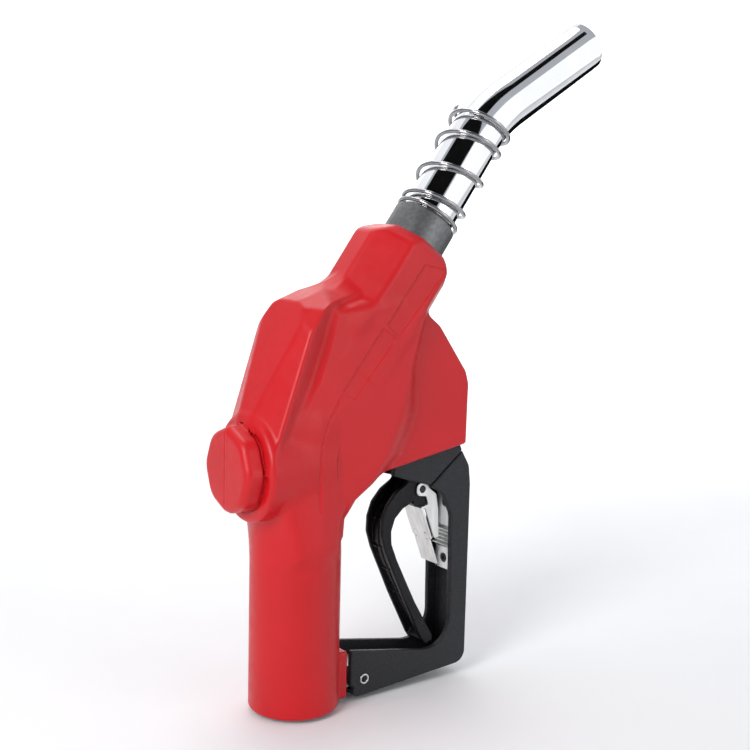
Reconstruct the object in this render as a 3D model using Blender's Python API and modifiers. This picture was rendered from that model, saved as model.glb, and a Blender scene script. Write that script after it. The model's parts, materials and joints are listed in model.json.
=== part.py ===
"""Automatic shut-off fuel nozzle, 1 inch, with its casting, valve, trip mechanism, lever, guard and spout.

Z runs up the handle from the hose inlet, X points at the lever and the guard, and the plane Y = 0
is the plane of symmetry. Lengths are in metres.
"""

import math

import bmesh
import bpy
from mathutils import Matrix, Vector

MM = 0.001
GAP = 0.3 * MM

# Cover and casting
COVER_WALL = 3.0 * MM
HANDLE_RADIUS = 26.5 * MM
HANDLE_TOP = 150.0 * MM
CORE_HALF = 24.5 * MM
WING_HALF = 16.5 * MM
VALVE_HEIGHT = 146.0 * MM
CAP_FACE = -47.0 * MM
CAP_RADIUS = 25.5 * MM
BOSS_FACE = -35.0 * MM
BOSS_RADIUS = 31.5 * MM
BOSS_ROOT = 26.0 * MM
BLANK_SIZE = 400.0 * MM
BLANK_HEIGHT = 150.0 * MM
INLET_BORE = 14.5 * MM
INLET_THREAD = 16.4 * MM
INLET_THREAD_DEPTH = 24.0 * MM
CASTING_INSET = COVER_WALL + GAP
LUG_HALF = 8.5 * MM
PASSAGE_RADIUS = 4.8 * MM

# Spout axis, measured along from where it crosses X = 0
SPOUT_START = Vector((0.0, 0.0, 161.0)) * MM
SPOUT_TILT = math.radians(35.5)
SPOUT_BEND = math.radians(22.6)
SPOUT_BEND_RADIUS = 94.0 * MM
SPOUT_BEND_START = 210.0 * MM
SPOUT_STRAIGHT = 74.9 * MM
SPOUT_RADIUS = 16.1 * MM
SPOUT_WALL = 1.2 * MM
SOCKET_TOP = 133.5 * MM
SOCKET_RIM = 21.5 * MM
SOCKET_BACK = 33.0 * MM
SOCKET_FRONT = 28.0 * MM
COLLAR_RADIUS = 19.4 * MM
COLLAR_BORE = 16.5 * MM
COLLAR_TOP = 152.0 * MM
COLLAR_FOOT = 125.0 * MM
WIRE_RADIUS = 1.25 * MM
COIL_RADIUS = 18.8 * MM
COIL_STEPS = 14
SENSING_OFFSET = 10.6 * MM
RETAINER_HOLES = 6

# Trip axis, from the middle of the vacuum cap's cover down to the lever pivot
PIVOT = Vector((93.0, 0.0, 163.3)) * MM
TRIP_TILT = math.radians(113.67)
TRIP_LENGTH = 122.0 * MM
DIAPHRAGM_SEAT = 14.5 * MM
DIAPHRAGM_RADIUS = 20.2 * MM
VACUUM_SCREWS = 4
SCREW_CIRCLE = 16.8 * MM
LATCH_BALLS = 3
BALL_RADIUS = 1.5 * MM
BALL_CIRCLE = 3.9 * MM
BALL_HEIGHT = 36.0 * MM

# Guard, lever and clip
GUARD_HALF = 13.0 * MM
SLOT_HALF = 9.5 * MM
LEVER_HALF = 9.0 * MM
LEVER_CHANNEL = 6.2 * MM
CLIP_HALF = 9.0 * MM
CLIP_SHEET = 1.2 * MM
CLIP_PIVOT = Vector((85.4, 0.0, 121.8)) * MM
STEM_RADIUS = 3.0 * MM
STEM_TIP = 85.55 * MM
PIVOT_HOLE = 2.8 * MM
CLIP_PIN_HOLE = 2.3 * MM
GUARD_PIN = Vector((42.1, 0.0, 11.5)) * MM
GUARD_PIN_HOLE = 3.5 * MM
BRACKET_SCREW = Vector((69.0, 0.0, 200.0)) * MM
SCREW_HOLE = 1.9 * MM
RACK_TEETH = 5
RACK_PITCH = 2.5
RACK_TEETH_TOP = 93.5
RACK_SCREWS = (73.0, 109.0)
RACK_SCREW_HOLE = 1.8 * MM
RACK_BACK = 113.2

SPOUT_AXIS = Vector((math.sin(SPOUT_TILT), 0.0, math.cos(SPOUT_TILT)))
TRIP_AXIS = Vector((math.sin(TRIP_TILT), 0.0, math.cos(TRIP_TILT)))
TRIP_START = PIVOT - TRIP_AXIS * TRIP_LENGTH
VALVE_TILT = math.radians(90.0)

UPRIGHT = (Vector((0.0, 0.0, 0.0)), 0.0)
SPOUT = (SPOUT_START, SPOUT_TILT)
TRIP = (TRIP_START, TRIP_TILT)
VALVE = (Vector((0.0, 0.0, VALVE_HEIGHT)), VALVE_TILT)

# Finishes: colour, metallic, roughness
FINISHES = {
    "red_vinyl": ((0.60, 0.016, 0.024), 0.0, 0.38),
    "cast_aluminium": ((0.55, 0.56, 0.57), 1.0, 0.5),
    "black_plastic": ((0.018, 0.018, 0.02), 0.0, 0.55),
    "collar_metal": ((0.17, 0.17, 0.175), 0.6, 0.5),
    "chrome": ((0.82, 0.83, 0.84), 1.0, 0.06),
    "stainless": ((0.66, 0.66, 0.65), 1.0, 0.28),
    "steel": ((0.5, 0.5, 0.51), 1.0, 0.35),
    "brass": ((0.72, 0.5, 0.2), 1.0, 0.3),
    "rubber": ((0.02, 0.02, 0.02), 0.0, 0.75),
}


def collection(name):
    group = bpy.data.collections.new(name)
    bpy.context.scene.collection.children.link(group)
    return group


for stale in list(bpy.data.objects):
    bpy.data.objects.remove(stale)
PARTS = collection("fuel_nozzle")
CUTTERS = collection("cutters")


def finish_material(key):
    material = bpy.data.materials.get(key)
    if material:
        return material
    colour, metallic, roughness = FINISHES[key]
    material = bpy.data.materials.new(key)
    material.use_nodes = True
    shader = material.node_tree.nodes["Principled BSDF"]
    shader.inputs["Base Color"].default_value = (*colour, 1.0)
    shader.inputs["Metallic"].default_value = metallic
    shader.inputs["Roughness"].default_value = roughness
    material.diffuse_color = (*colour, 1.0)
    return material


def place(obj, frame):
    origin, tilt = frame
    obj.location = origin
    obj.rotation_euler = (0.0, tilt, 0.0)


def as_cutter(obj):
    """Solids start as helpers. keep() turns one into a part."""
    CUTTERS.objects.link(obj)
    obj.hide_render = True
    obj.display_type = "WIRE"
    return obj


def keep(obj, name, finish):
    CUTTERS.objects.unlink(obj)
    PARTS.objects.link(obj)
    obj.name = name
    obj.hide_render = False
    obj.display_type = "TEXTURED"
    obj.data.materials.clear()
    obj.data.materials.append(finish_material(finish))
    return obj


def solid(bm, frame=UPRIGHT, smooth=False):
    mesh = bpy.data.meshes.new("solid")
    bmesh.ops.recalc_face_normals(bm, faces=bm.faces)
    for face in bm.faces:
        face.smooth = smooth
    bm.to_mesh(mesh)
    bm.free()
    obj = as_cutter(bpy.data.objects.new("solid", mesh))
    place(obj, frame)
    return obj


def block(low, high, frame=UPRIGHT):
    """A box between two corners."""
    low, high = Vector(low), Vector(high)
    bm = bmesh.new()
    bmesh.ops.create_cube(bm, size=1.0)
    size = Matrix.Diagonal((*(high - low), 1.0))
    bmesh.ops.transform(bm, matrix=Matrix.Translation((low + high) / 2) @ size, verts=bm.verts)
    return solid(bm, frame)


def cylinder(radius, low, high, frame=UPRIGHT, top=None, sides=32, offset=(0.0, 0.0)):
    """A cylinder or cone along the frame's own Z, from low to high."""
    bm = bmesh.new()
    bmesh.ops.create_cone(
        bm, cap_ends=True, segments=sides, radius1=radius,
        radius2=radius if top is None else top, depth=high - low,
    )
    middle = Vector((offset[0], offset[1], (low + high) / 2))
    bmesh.ops.translate(bm, vec=middle, verts=bm.verts)
    return solid(bm, frame, smooth=True)


def crosswise(radius, x, z, half, sides=20):
    """A cylinder along Y through (x, z)."""
    bm = bmesh.new()
    bmesh.ops.create_cone(
        bm, cap_ends=True, segments=sides, radius1=radius, radius2=radius, depth=2 * half,
    )
    turn = Matrix.Rotation(math.radians(90.0), 4, "X")
    bmesh.ops.transform(bm, matrix=Matrix.Translation((x, 0.0, z)) @ turn, verts=bm.verts)
    return solid(bm, smooth=True)


def ball(radius, centre, frame=UPRIGHT):
    bm = bmesh.new()
    bmesh.ops.create_uvsphere(bm, u_segments=12, v_segments=8, radius=radius)
    bmesh.ops.translate(bm, vec=centre, verts=bm.verts)
    return solid(bm, frame, smooth=True)


def turned(profile, frame=UPRIGHT, steps=32):
    """A turned solid. The profile lists (radius, height) in mm from the top of its outer side down."""
    mesh = bpy.data.meshes.new("profile")
    points = [(r * MM, 0.0, h * MM) for r, h in profile]
    edges = [(i, i + 1) for i in range(len(points) - 1)]
    if profile[0][0] > 0.0:
        edges.append((len(points) - 1, 0))
    mesh.from_pydata(points, edges, [])
    obj = as_cutter(bpy.data.objects.new("turned", mesh))
    place(obj, frame)
    screw = obj.modifiers.new("turn", "SCREW")
    screw.steps = steps
    screw.render_steps = steps
    screw.use_merge_vertices = True
    screw.merge_threshold = 0.00001
    screw.use_smooth_shade = True
    return obj


def rounded(corners):
    """The outline in metres of (x, z) or (x, z, radius) corners in mm, each radius as an arc."""
    outline = []
    count = len(corners)
    for i, corner in enumerate(corners):
        here = Vector(corner[:2]) * MM
        radius = corner[2] * MM if len(corner) > 2 else 0.0
        if radius == 0.0:
            outline.append(here)
            continue
        back = (Vector(corners[i - 1][:2]) * MM - here).normalized()
        ahead = (Vector(corners[(i + 1) % count][:2]) * MM - here).normalized()
        half = back.angle(ahead) / 2
        centre = here + (back + ahead).normalized() * radius / math.sin(half)
        first = here + back * radius / math.tan(half) - centre
        last = here + ahead * radius / math.tan(half) - centre
        steps = max(2, round(first.angle(last) / math.radians(18.0)))
        for k in range(steps + 1):
            blend = first.lerp(last, k / steps).normalized() * radius
            outline.append(centre + blend)
    return outline


def inset_outline(outline, inset):
    """The outline moved inwards by inset, each corner on its own bisector."""
    turn = sum(a.cross(b) for a, b in zip(outline, outline[1:] + outline[:1]))
    side = 1.0 if turn > 0 else -1.0
    moved = []
    for i, here in enumerate(outline):
        before = (here - outline[i - 1]).normalized()
        after = (outline[(i + 1) % len(outline)] - here).normalized()
        first = Vector((-before.y, before.x)) * side
        second = Vector((-after.y, after.x)) * side
        middle = (first + second).normalized()
        moved.append(here + middle * inset / max(0.3, middle.dot(first)))
    return moved


def plate(corners, half=0.0, inset=0.0, bevel=0.0, span=None):
    """A flat outline in the XZ plane, extruded to both sides of Y = 0, or across span."""
    outline = inset_outline(rounded(corners), inset)
    low, high = span if span else (-half, half)
    curve = bpy.data.curves.new("outline", "CURVE")
    curve.dimensions = "2D"
    curve.fill_mode = "BOTH"
    curve.extrude = (high - low) / 2
    spline = curve.splines.new("POLY")
    spline.points.add(len(outline) - 1)
    for point, (x, z) in zip(spline.points, outline):
        point.co = (x, z, 0.0, 1.0)
    spline.use_cyclic_u = True
    flat = bpy.data.objects.new("outline", curve)
    flat.location.y = (low + high) / 2
    flat.rotation_euler.x = math.radians(90.0)
    CUTTERS.objects.link(flat)
    obj = mesh_of(flat)
    if bevel:
        edge = obj.modifiers.new("edge", "BEVEL")
        edge.width = bevel
        edge.segments = 2
        edge.limit_method = "ANGLE"
        edge.angle_limit = math.radians(60.0)
    return obj


def mesh_of(curve_object):
    """The curve object's solid as a mesh object, with its caps welded on."""
    bpy.context.view_layer.update()
    graph = bpy.context.evaluated_depsgraph_get()
    mesh = bpy.data.meshes.new_from_object(curve_object.evaluated_get(graph))
    bm = bmesh.new()
    bm.from_mesh(mesh)
    bmesh.ops.remove_doubles(bm, verts=bm.verts, dist=0.000001)
    bmesh.ops.recalc_face_normals(bm, faces=bm.faces)
    bm.to_mesh(mesh)
    bm.free()
    obj = as_cutter(bpy.data.objects.new("solid", mesh))
    obj.matrix_world = curve_object.matrix_world
    bpy.data.objects.remove(curve_object)
    return obj


def wire(points, radius, resolution=2, frame=UPRIGHT, cyclic=False):
    """A round bar along the points, with flat ends."""
    curve = bpy.data.curves.new("wire", "CURVE")
    curve.dimensions = "3D"
    curve.bevel_depth = radius
    curve.bevel_resolution = resolution
    curve.use_fill_caps = not cyclic
    spline = curve.splines.new("POLY")
    spline.points.add(len(points) - 1)
    for point, place_at in zip(spline.points, points):
        point.co = (*place_at, 1.0)
    spline.use_cyclic_u = cyclic
    obj = as_cutter(bpy.data.objects.new("wire", curve))
    place(obj, frame)
    return obj


def helix(radius, low, high, turns, points_a_turn=12, start=0.0):
    count = round(turns * points_a_turn)
    coil = []
    for i in range(count + 1):
        angle = start + 2 * math.pi * turns * i / count
        height = low + (high - low) * i / count
        coil.append(Vector((radius * math.cos(angle), radius * math.sin(angle), height)))
    return coil


def sliced(planes, inset=0.0):
    """The convex block that all planes (point, outward normal) leave, each moved inwards by inset."""
    bm = bmesh.new()
    bmesh.ops.create_cube(bm, size=BLANK_SIZE)
    bmesh.ops.translate(bm, vec=(0.0, 0.0, BLANK_HEIGHT), verts=bm.verts)
    for point, normal in planes:
        normal = normal.normalized()
        cut = bmesh.ops.bisect_plane(
            bm, geom=bm.verts[:] + bm.edges[:] + bm.faces[:], dist=1e-7,
            plane_co=point - normal * inset, plane_no=normal, clear_outer=True,
        )
        rim = [item for item in cut["geom_cut"] if isinstance(item, bmesh.types.BMEdge)]
        if rim:
            bmesh.ops.contextual_create(bm, geom=rim)
    return solid(bm)


def combine(obj, others, operation):
    for other in others:
        step = obj.modifiers.new(operation.lower(), "BOOLEAN")
        step.operation = operation
        step.solver = "EXACT"
        step.object = other
    return obj


def join(obj, *others):
    return combine(obj, others, "UNION")


def cut(obj, *others):
    return combine(obj, others, "DIFFERENCE")


def baked(obj):
    """The object with its modifiers applied, so that it can be a cutter or take a Bevel."""
    bpy.context.view_layer.update()
    graph = bpy.context.evaluated_depsgraph_get()
    mesh = bpy.data.meshes.new_from_object(obj.evaluated_get(graph))
    obj.modifiers.clear()
    obj.data = mesh
    return obj


def mirrored_y(point):
    return Vector((point.x, -point.y, point.z))


def both_sides(plane):
    point, normal = plane
    return [plane, (mirrored_y(point), mirrored_y(normal))]


def spout_point(along, up=0.0, side=0.0):
    """A point at this distance along the spout's axis, up from its lower side, in metres."""
    upward = Vector((-SPOUT_AXIS.z, 0.0, SPOUT_AXIS.x))
    return SPOUT_START + SPOUT_AXIS * along + upward * up + Vector((0.0, side, 0.0))


# ---------------------------------------------------------------- body forms

INSIDE_BULGE = Vector((5.0, 0.0, 205.0)) * MM


def bulge_plane(a, b, c):
    """The plane (point, outward normal) through three points in mm, with the bulge behind it."""
    a, b, c = (Vector(p) * MM for p in (a, b, c))
    normal = (b - a).cross(c - a).normalized()
    if normal.dot(INSIDE_BULGE - a) > 0:
        normal.negate()
    return a, normal


BULGE_PLANES = [
    (TRIP_START, -TRIP_AXIS),
    *both_sides(bulge_plane((-15.2, 13.6, 227.5), (-31.6, 7.6, 184.6), (-14.3, 29.0, 209.1))),
    *both_sides(bulge_plane((-14.3, 29.0, 209.1), (-24.0, 29.0, 182.5), (-4.3, 24.5, 213.5))),
    *both_sides(bulge_plane((2.0, 29.0, 235.7), (-8.9, 29.0, 223.2), (-9.9, 10.3, 238.0))),
    bulge_plane((-9.9, 0.0, 238.0), (14.2, 0.0, 247.2), (14.2, 10.0, 247.2)),
    *both_sides(bulge_plane((-9.9, 10.3, 238.0), (12.0, 10.3, 246.4), (2.0, 29.0, 235.7))),
    *both_sides(bulge_plane((10.0, 6.0, 246.4), (4.4, 29.0, 236.6), (26.2, 25.0, 236.8))),
    bulge_plane((-34.0, 0.0, 146.0), (0.0, 0.0, 120.0), (0.0, 10.0, 120.0)),
    (Vector((22.0, 0.0, 200.0)) * MM, Vector((1.0, 0.0, 0.0))),
    (Vector((-33.9, 0.0, 180.0)) * MM, Vector((-1.0, 0.0, 0.0))),
]
CORE_OUTLINE = [
    (-23, 126), (-24, 162), (-4, 196), (3, 216), (8, 235.3), (28, 237), (58, 240), (71, 228),
    (64, 200), (58, 172, 30), (45, 148, 20), (33, 133, 10), (22, 125, 8), (15.5, 114, 8), (14, 96), (-14, 96),
]
WING_OUTLINE = [
    (20, 104), (22.5, 112, 10), (31, 125, 12), (45, 134.5, 12), (53, 137.3), (81, 142.4),
    (113.5, 148.4, 2), (114, 186, 8), (111.5, 194, 6), (90.6, 222.2, 8), (78, 232), (40, 235), (10, 180),
]
WING_ROOM_OUTLINE = [
    (20, 130), (30, 132.5), (43, 136), (43, 120), (118, 120), (111, 150), (111, 185, 5), (87, 222),
    (76, 228), (40, 230), (14, 180),
]
PASSAGE = [(21, 6, 147), (33, 15, 190), (52, 8, 235)]


def socket_planes(top):
    """The spout socket: eight sides round the spout's axis, each with a 45 degree edge at the top."""
    corners = [(SOCKET_BACK / MM, 8.5), (15.0, 25.6), (-16.0, 25.6), (-SOCKET_FRONT / MM, 11.0)]
    ring = corners + [(up, -side) for up, side in reversed(corners)]
    planes = [
        (spout_point(top), SPOUT_AXIS),
        (spout_point(70.0 * MM), -SPOUT_AXIS),
    ]
    for (up_a, side_a), (up_b, side_b) in zip(ring, ring[1:] + ring[:1]):
        outward = Vector((side_a - side_b, up_b - up_a)).normalized()
        if outward.dot(Vector((up_a, side_a))) < 0:
            outward.negate()
        distance = outward.dot(Vector((up_a, side_a))) * MM
        normal = spout_point(0.0, outward.x, outward.y) - spout_point(0.0)
        edge = spout_point(0.0) + normal.normalized() * distance
        planes.append((edge, normal))
        rim = edge + SPOUT_AXIS * (SOCKET_TOP + SOCKET_RIM - distance)
        planes.append((rim, normal.normalized() + SPOUT_AXIS))
    return planes


def octagon_cap(inset):
    """The poppet cap's eight-sided cover, with a corner at the top."""
    return cylinder(CAP_RADIUS - inset, CAP_FACE + inset, BOSS_FACE + 6.0 * MM, VALVE, sides=8)


def body_form(inset, lowest, socket_top):
    """The outside of the body: handle, core, bulge, poppet boss and spout socket."""
    handle = cylinder(HANDLE_RADIUS - inset, lowest, HANDLE_TOP, sides=48)
    core = plate(CORE_OUTLINE, CORE_HALF - inset, inset)
    bulge = sliced(BULGE_PLANES, inset)
    socket = sliced(socket_planes(socket_top), inset)
    boss = cylinder(
        BOSS_RADIUS - inset, BOSS_FACE + inset, 10.0 * MM, VALVE, top=BOSS_ROOT - inset, sides=40,
    )
    return join(handle, core, bulge, socket, boss)


def make_cover():
    outside = body_form(0.0, 0.4 * MM, SOCKET_TOP)
    wing = plate(WING_OUTLINE, WING_HALF, bevel=3.0 * MM)
    lug = block(Vector((18, -12.5, 2)) * MM, Vector((30, 12.5, 31)) * MM)
    join(outside, wing, octagon_cap(0.0), lug)
    inside = body_form(COVER_WALL, -2.0 * MM, SOCKET_TOP)
    wing_room = plate(WING_ROOM_OUTLINE, WING_HALF - COVER_WALL)
    lug_room = block(Vector((18, -9.5, -2)) * MM, Vector((34, 9.5, 28)) * MM)
    neck = cylinder(COLLAR_RADIUS + 0.5 * MM, 100 * MM, 160 * MM, SPOUT, sides=40)
    return keep(
        cut(outside, baked(inside), wing_room, octagon_cap(COVER_WALL), lug_room, neck),
        "scuff_guard", "red_vinyl",
    )


# ---------------------------------------------------------------- casting and valve

def rod(a, b, radius, sides=16):
    """A cylinder between two points."""
    a, b = Vector(a), Vector(b)
    bm = bmesh.new()
    bmesh.ops.create_cone(
        bm, cap_ends=True, segments=sides, radius1=radius, radius2=radius, depth=(b - a).length,
    )
    turn = (b - a).to_track_quat("Z", "Y").to_matrix().to_4x4()
    bmesh.ops.transform(bm, matrix=Matrix.Translation((a + b) / 2) @ turn, verts=bm.verts)
    return solid(bm, smooth=True)


def ring(radius, thickness, height, frame, steps=32):
    """An O-ring, sizes in mm."""
    section = [math.radians(90.0 - 45.0 * i) for i in range(8)]
    return turned(
        [(radius + thickness * math.cos(a), height + thickness * math.sin(a)) for a in section],
        frame, steps,
    )


def vacuum_screw_places():
    for i in range(VACUUM_SCREWS):
        angle = math.pi * (2 * i + 1) / VACUUM_SCREWS
        yield SCREW_CIRCLE * math.cos(angle), SCREW_CIRCLE * math.sin(angle)


def vacuum_screw_holes():
    return [
        cylinder(1.8 * MM, 4 * MM, 23 * MM, TRIP, sides=12, offset=place_at)
        for place_at in vacuum_screw_places()
    ]


def fuel_passages():
    """Two curved ways past the trip stem, one on each side, from the valve to the spout socket."""
    return [
        mesh_of(wire([Vector((x, side * y, z)) * MM for x, y, z in PASSAGE], PASSAGE_RADIUS))
        for side in (-1.0, 1.0)
    ]


def make_casting():
    body = body_form(CASTING_INSET, 0.0, SOCKET_TOP)
    join(
        body,
        cylinder(9.0 * MM, 30 * MM, 96 * MM, TRIP, sides=24),
        cylinder(9.0 * MM, 20 * MM, 58 * MM, VALVE, sides=24),
        block(Vector((15 * MM, -LUG_HALF, 6.8 * MM)), Vector((48 * MM, LUG_HALF, 20 * MM))),
        block(Vector((40, -9.2, 192)) * MM, Vector((74, 9.2, 207)) * MM),
    )
    cut(
        body,
        block(Vector((-32, -35, -30)) * MM, Vector((27, 35, DIAPHRAGM_SEAT / MM)) * MM, TRIP),
        cylinder(INLET_BORE, -2 * MM, VALVE_HEIGHT),
        cylinder(INLET_THREAD, -2 * MM, INLET_THREAD_DEPTH),
        cylinder(20 * MM, -40 * MM, 4 * MM, VALVE),
        cylinder(22.5 * MM, -40 * MM, -29.5 * MM, VALVE),
        cylinder(11 * MM, 0.0, 12 * MM, VALVE),
        cylinder(13 * MM, 8 * MM, 34 * MM, VALVE),
        cylinder(3.5 * MM, 30 * MM, 50 * MM, VALVE, sides=20),
        cylinder(6.0 * MM, 44 * MM, 70 * MM, VALVE, sides=20),
        *fuel_passages(),
        cylinder(14.3 * MM, 84 * MM, 118.5 * MM, SPOUT),
        cylinder(SPOUT_RADIUS + GAP, 117.5 * MM, 140 * MM, SPOUT),
        cylinder(SPOUT_RADIUS + 2.3 * MM, 119.7 * MM, 122.2 * MM, SPOUT),
        cylinder(COLLAR_RADIUS + GAP, COLLAR_FOOT - GAP, 150 * MM, SPOUT),
        cylinder(14 * MM, DIAPHRAGM_SEAT - 3 * MM, DIAPHRAGM_SEAT + 5 * MM, TRIP),
        cylinder(6.0 * MM, 12 * MM, 63 * MM, TRIP, sides=20),
        cylinder(7.2 * MM, 62 * MM, 90 * MM, TRIP, sides=20),
        cylinder(4.0 * MM, 85 * MM, 100 * MM, TRIP, sides=20),
        *vacuum_screw_holes(),
        crosswise(GUARD_PIN_HOLE, GUARD_PIN.x, GUARD_PIN.z, 20 * MM),
        crosswise(SCREW_HOLE, BRACKET_SCREW.x, BRACKET_SCREW.z, 20 * MM, sides=12),
    )
    keep(body, "body_casting", "cast_aluminium")


def make_valve():
    keep(turned([(16.2, 23.8), (16.2, 21.6), (12.5, 21.6), (12.5, 23.8)]), "inlet_gasket", "rubber")
    poppet = turned(
        [(0, 2), (10.5, 2), (10.5, -1), (16, -1), (16, -5), (8, -7.5), (0, -7.5)], VALVE,
    )
    keep(poppet, "main_poppet", "brass")
    seal = turned([(15.5, 3.6), (15.5, -0.7), (10.9, -0.7), (10.9, 3.6)], VALVE)
    keep(seal, "poppet_seal", "rubber")
    keep(cylinder(STEM_RADIUS, 2.3 * MM, STEM_TIP, VALVE, sides=20), "main_stem", "steel")
    spring = wire(helix(12 * MM, -24.6 * MM, -9.2 * MM, 4.0), 1.0 * MM, frame=VALVE)
    keep(spring, "main_valve_spring", "steel")
    cap = cylinder(21.8 * MM, -43.4 * MM, -32.2 * MM, VALVE, sides=8)
    join(cap, cylinder(19.6 * MM, -34 * MM, -26 * MM, VALVE))
    keep(cap, "poppet_cap", "cast_aluminium")
    keep(ring(21.1, 0.8, -30.6, VALVE), "poppet_cap_o_ring", "rubber")
    packing = turned([(5.7, 49.8), (5.7, 44.3), (3.35, 44.3), (3.35, 49.8)], VALVE, steps=20)
    keep(packing, "stem_packing", "rubber")
    nut = cylinder(8.0 * MM, 58.4 * MM, 65.0 * MM, VALVE, sides=6)
    join(nut, cylinder(5.7 * MM, 50.2 * MM, 60 * MM, VALVE, sides=20))
    cut(nut, cylinder(3.4 * MM, 40 * MM, 70 * MM, VALVE, sides=20))
    keep(nut, "packing_nut", "brass")


# ---------------------------------------------------------------- vacuum trip

def ball_directions():
    for i in range(LATCH_BALLS):
        angle = math.pi / 2 + 2 * math.pi * i / LATCH_BALLS
        yield Vector((math.cos(angle), math.sin(angle), 0.0))


def make_trip():
    rim = DIAPHRAGM_RADIUS / MM
    cap = turned(
        [(0, 6.6), (10.5, 6.6), (10.5, 13.2), (rim, 13.2), (rim, 9.6), (13, 9.6), (11.5, 4.6), (0, 4.6)],
        TRIP,
    )
    keep(cut(cap, *vacuum_screw_holes()), "vacuum_cap", "cast_aluminium")
    for number, (x, y) in enumerate(vacuum_screw_places(), start=1):
        screw = turned(
            [(0, 21), (1.5, 21), (1.5, 9), (2.9, 9), (2.9, 7.8), (1.8, 7), (0, 7)], TRIP, steps=12,
        )
        screw.location = TRIP_START + Matrix.Rotation(TRIP_TILT, 3, "Y") @ Vector((x, y, 0.0))
        keep(screw, f"vacuum_cap_screw_{number}", "stainless")
    sheet = cylinder(DIAPHRAGM_RADIUS, 13.5 * MM, 14.2 * MM, TRIP)
    cut(sheet, cylinder(2.4 * MM, 10 * MM, 18 * MM, TRIP, sides=16), *vacuum_screw_holes())
    keep(sheet, "diaphragm", "rubber")
    spring = wire(helix(6 * MM, 7.5 * MM, 12.6 * MM, 3.0), 0.6 * MM, frame=TRIP)
    keep(spring, "diaphragm_spring", "steel")
    pin = turned(
        [(0, 34.2), (1.2, 34.2), (2, 33), (2, 16), (9, 16), (9, 14.6), (0, 14.6)], TRIP, steps=20,
    )
    keep(pin, "latch_pin", "steel")
    stem = turned(
        [(0, 108), (3.5, 108), (3.5, 64), (6.7, 64), (6.7, 62.6), (3.5, 62.6), (3.5, 47), (5.6, 46),
         (5.6, 30), (2.35, 30), (2.35, 44), (0, 45)],
        TRIP, steps=20,
    )
    tongue = block(Vector((-4.5, -3.5, 104)) * MM, Vector((4.5, 3.5, TRIP_LENGTH / MM + 3.6)) * MM, TRIP)
    turn = Matrix.Rotation(TRIP_TILT, 3, "Y")
    centre = TRIP_START + turn @ Vector((0.0, 0.0, BALL_HEIGHT))
    for outward in ball_directions():
        axis = turn @ outward
        cut(stem, rod(centre, centre + axis * 8 * MM, BALL_RADIUS + GAP, sides=12))
    join(stem, tongue)
    cut(stem, crosswise(PIVOT_HOLE, PIVOT.x, PIVOT.z, 10 * MM))
    keep(stem, "trip_stem", "steel")
    for number, outward in enumerate(ball_directions(), start=1):
        seat = outward * BALL_CIRCLE + Vector((0.0, 0.0, BALL_HEIGHT))
        keep(ball(BALL_RADIUS, seat, TRIP), f"latch_ball_{number}", "steel")
    spring = wire(helix(5.4 * MM, 65.0 * MM, 89.0 * MM, 6.0), 0.7 * MM, frame=TRIP)
    keep(spring, "trip_stem_spring", "steel")
    keep(crosswise(2.5 * MM, PIVOT.x, PIVOT.z, SLOT_HALF - GAP), "lever_pivot_pin", "steel")


# ---------------------------------------------------------------- lever and hold-open clip

LEVER_OUTLINE = [
    (86.5, 169, 2), (80.5, 150), (76.5, 136), (74, 127, 6), (65.3, 121.8), (58.8, 114.5), (55.6, 105.5),
    (55.3, 96), (58.7, 85.5), (65.5, 71), (72.9, 55), (80.3, 40.7), (87.5, 26.5), (91, 21.8, 2),
    (97.5, 24, 2), (96.5, 28), (89.7, 38.8), (82.3, 51), (74.8, 65.6), (67.5, 80), (63.2, 90.5),
    (62.8, 98.3), (65.3, 105.7), (71.0, 111.2), (79, 114.6), (88, 114.8, 2), (91.2, 121, 2), (90.4, 130, 4),
    (90.4, 150, 4), (101.4, 158, 3), (101.4, 168, 5), (95, 172, 3),
]
CHANNEL_OUTLINE = [
    (98.2, 182), (98.2, 158.5), (93, 151.5), (86, 151.5), (86, 128), (80, 126), (76, 119), (70, 114.6),
    (62.4, 108.3), (59.2, 99), (59.6, 90), (64.2, 78.4), (71.5, 63.8), (79.3, 49), (86.7, 36.2), (91, 29),
    (86, 22), (66, 20), (40, 60), (40, 130), (60, 182),
]
EAR_ROOM_OUTLINE = [
    (78.6, 120), (80, 128.5), (92, 129.5), (104, 124), (104, 90), (90, 90), (84, 112), (78.6, 117),
]
WEB_ROOM_OUTLINE = [(80.6, 128), (90, 128), (96, 120), (96, 104), (84, 104), (80.6, 116)]
CLIP_OUTLINE = [
    (80.9, 118, 3.2), (81.2, 126, 4), (88.5, 126.3, 4), (91, 121.8, 2), (96.2, 117.8, 3), (98, 108.2),
    (99.2, 89.8), (94.3, 89.8), (100.3, 72.9), (98.9, 72.4), (84.2, 110.0), (86.2, 110.9), (90.0, 111.6),
    (88.3, 117.0),
]
CLIP_ROOM_OUTLINE = [
    (85.7, 109.9), (102.6, 66), (108, 66), (108, 132), (76, 132), (76, 114), (83.9, 114.4),
]


def make_lever():
    lever = plate(LEVER_OUTLINE, LEVER_HALF)
    ear_inside = 7.4 * MM
    ear_outside = 12 * MM
    cut(
        lever,
        plate(CHANNEL_OUTLINE, LEVER_CHANNEL),
        plate(EAR_ROOM_OUTLINE, span=(ear_inside, ear_outside)),
        plate(EAR_ROOM_OUTLINE, span=(-ear_outside, -ear_inside)),
        crosswise(PIVOT_HOLE, PIVOT.x, PIVOT.z, 20 * MM),
        crosswise(CLIP_PIN_HOLE, CLIP_PIVOT.x, CLIP_PIVOT.z, 20 * MM),
        plate(WEB_ROOM_OUTLINE, 3.2 * MM),
    )
    keep(lever, "lever", "black_plastic")


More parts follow.
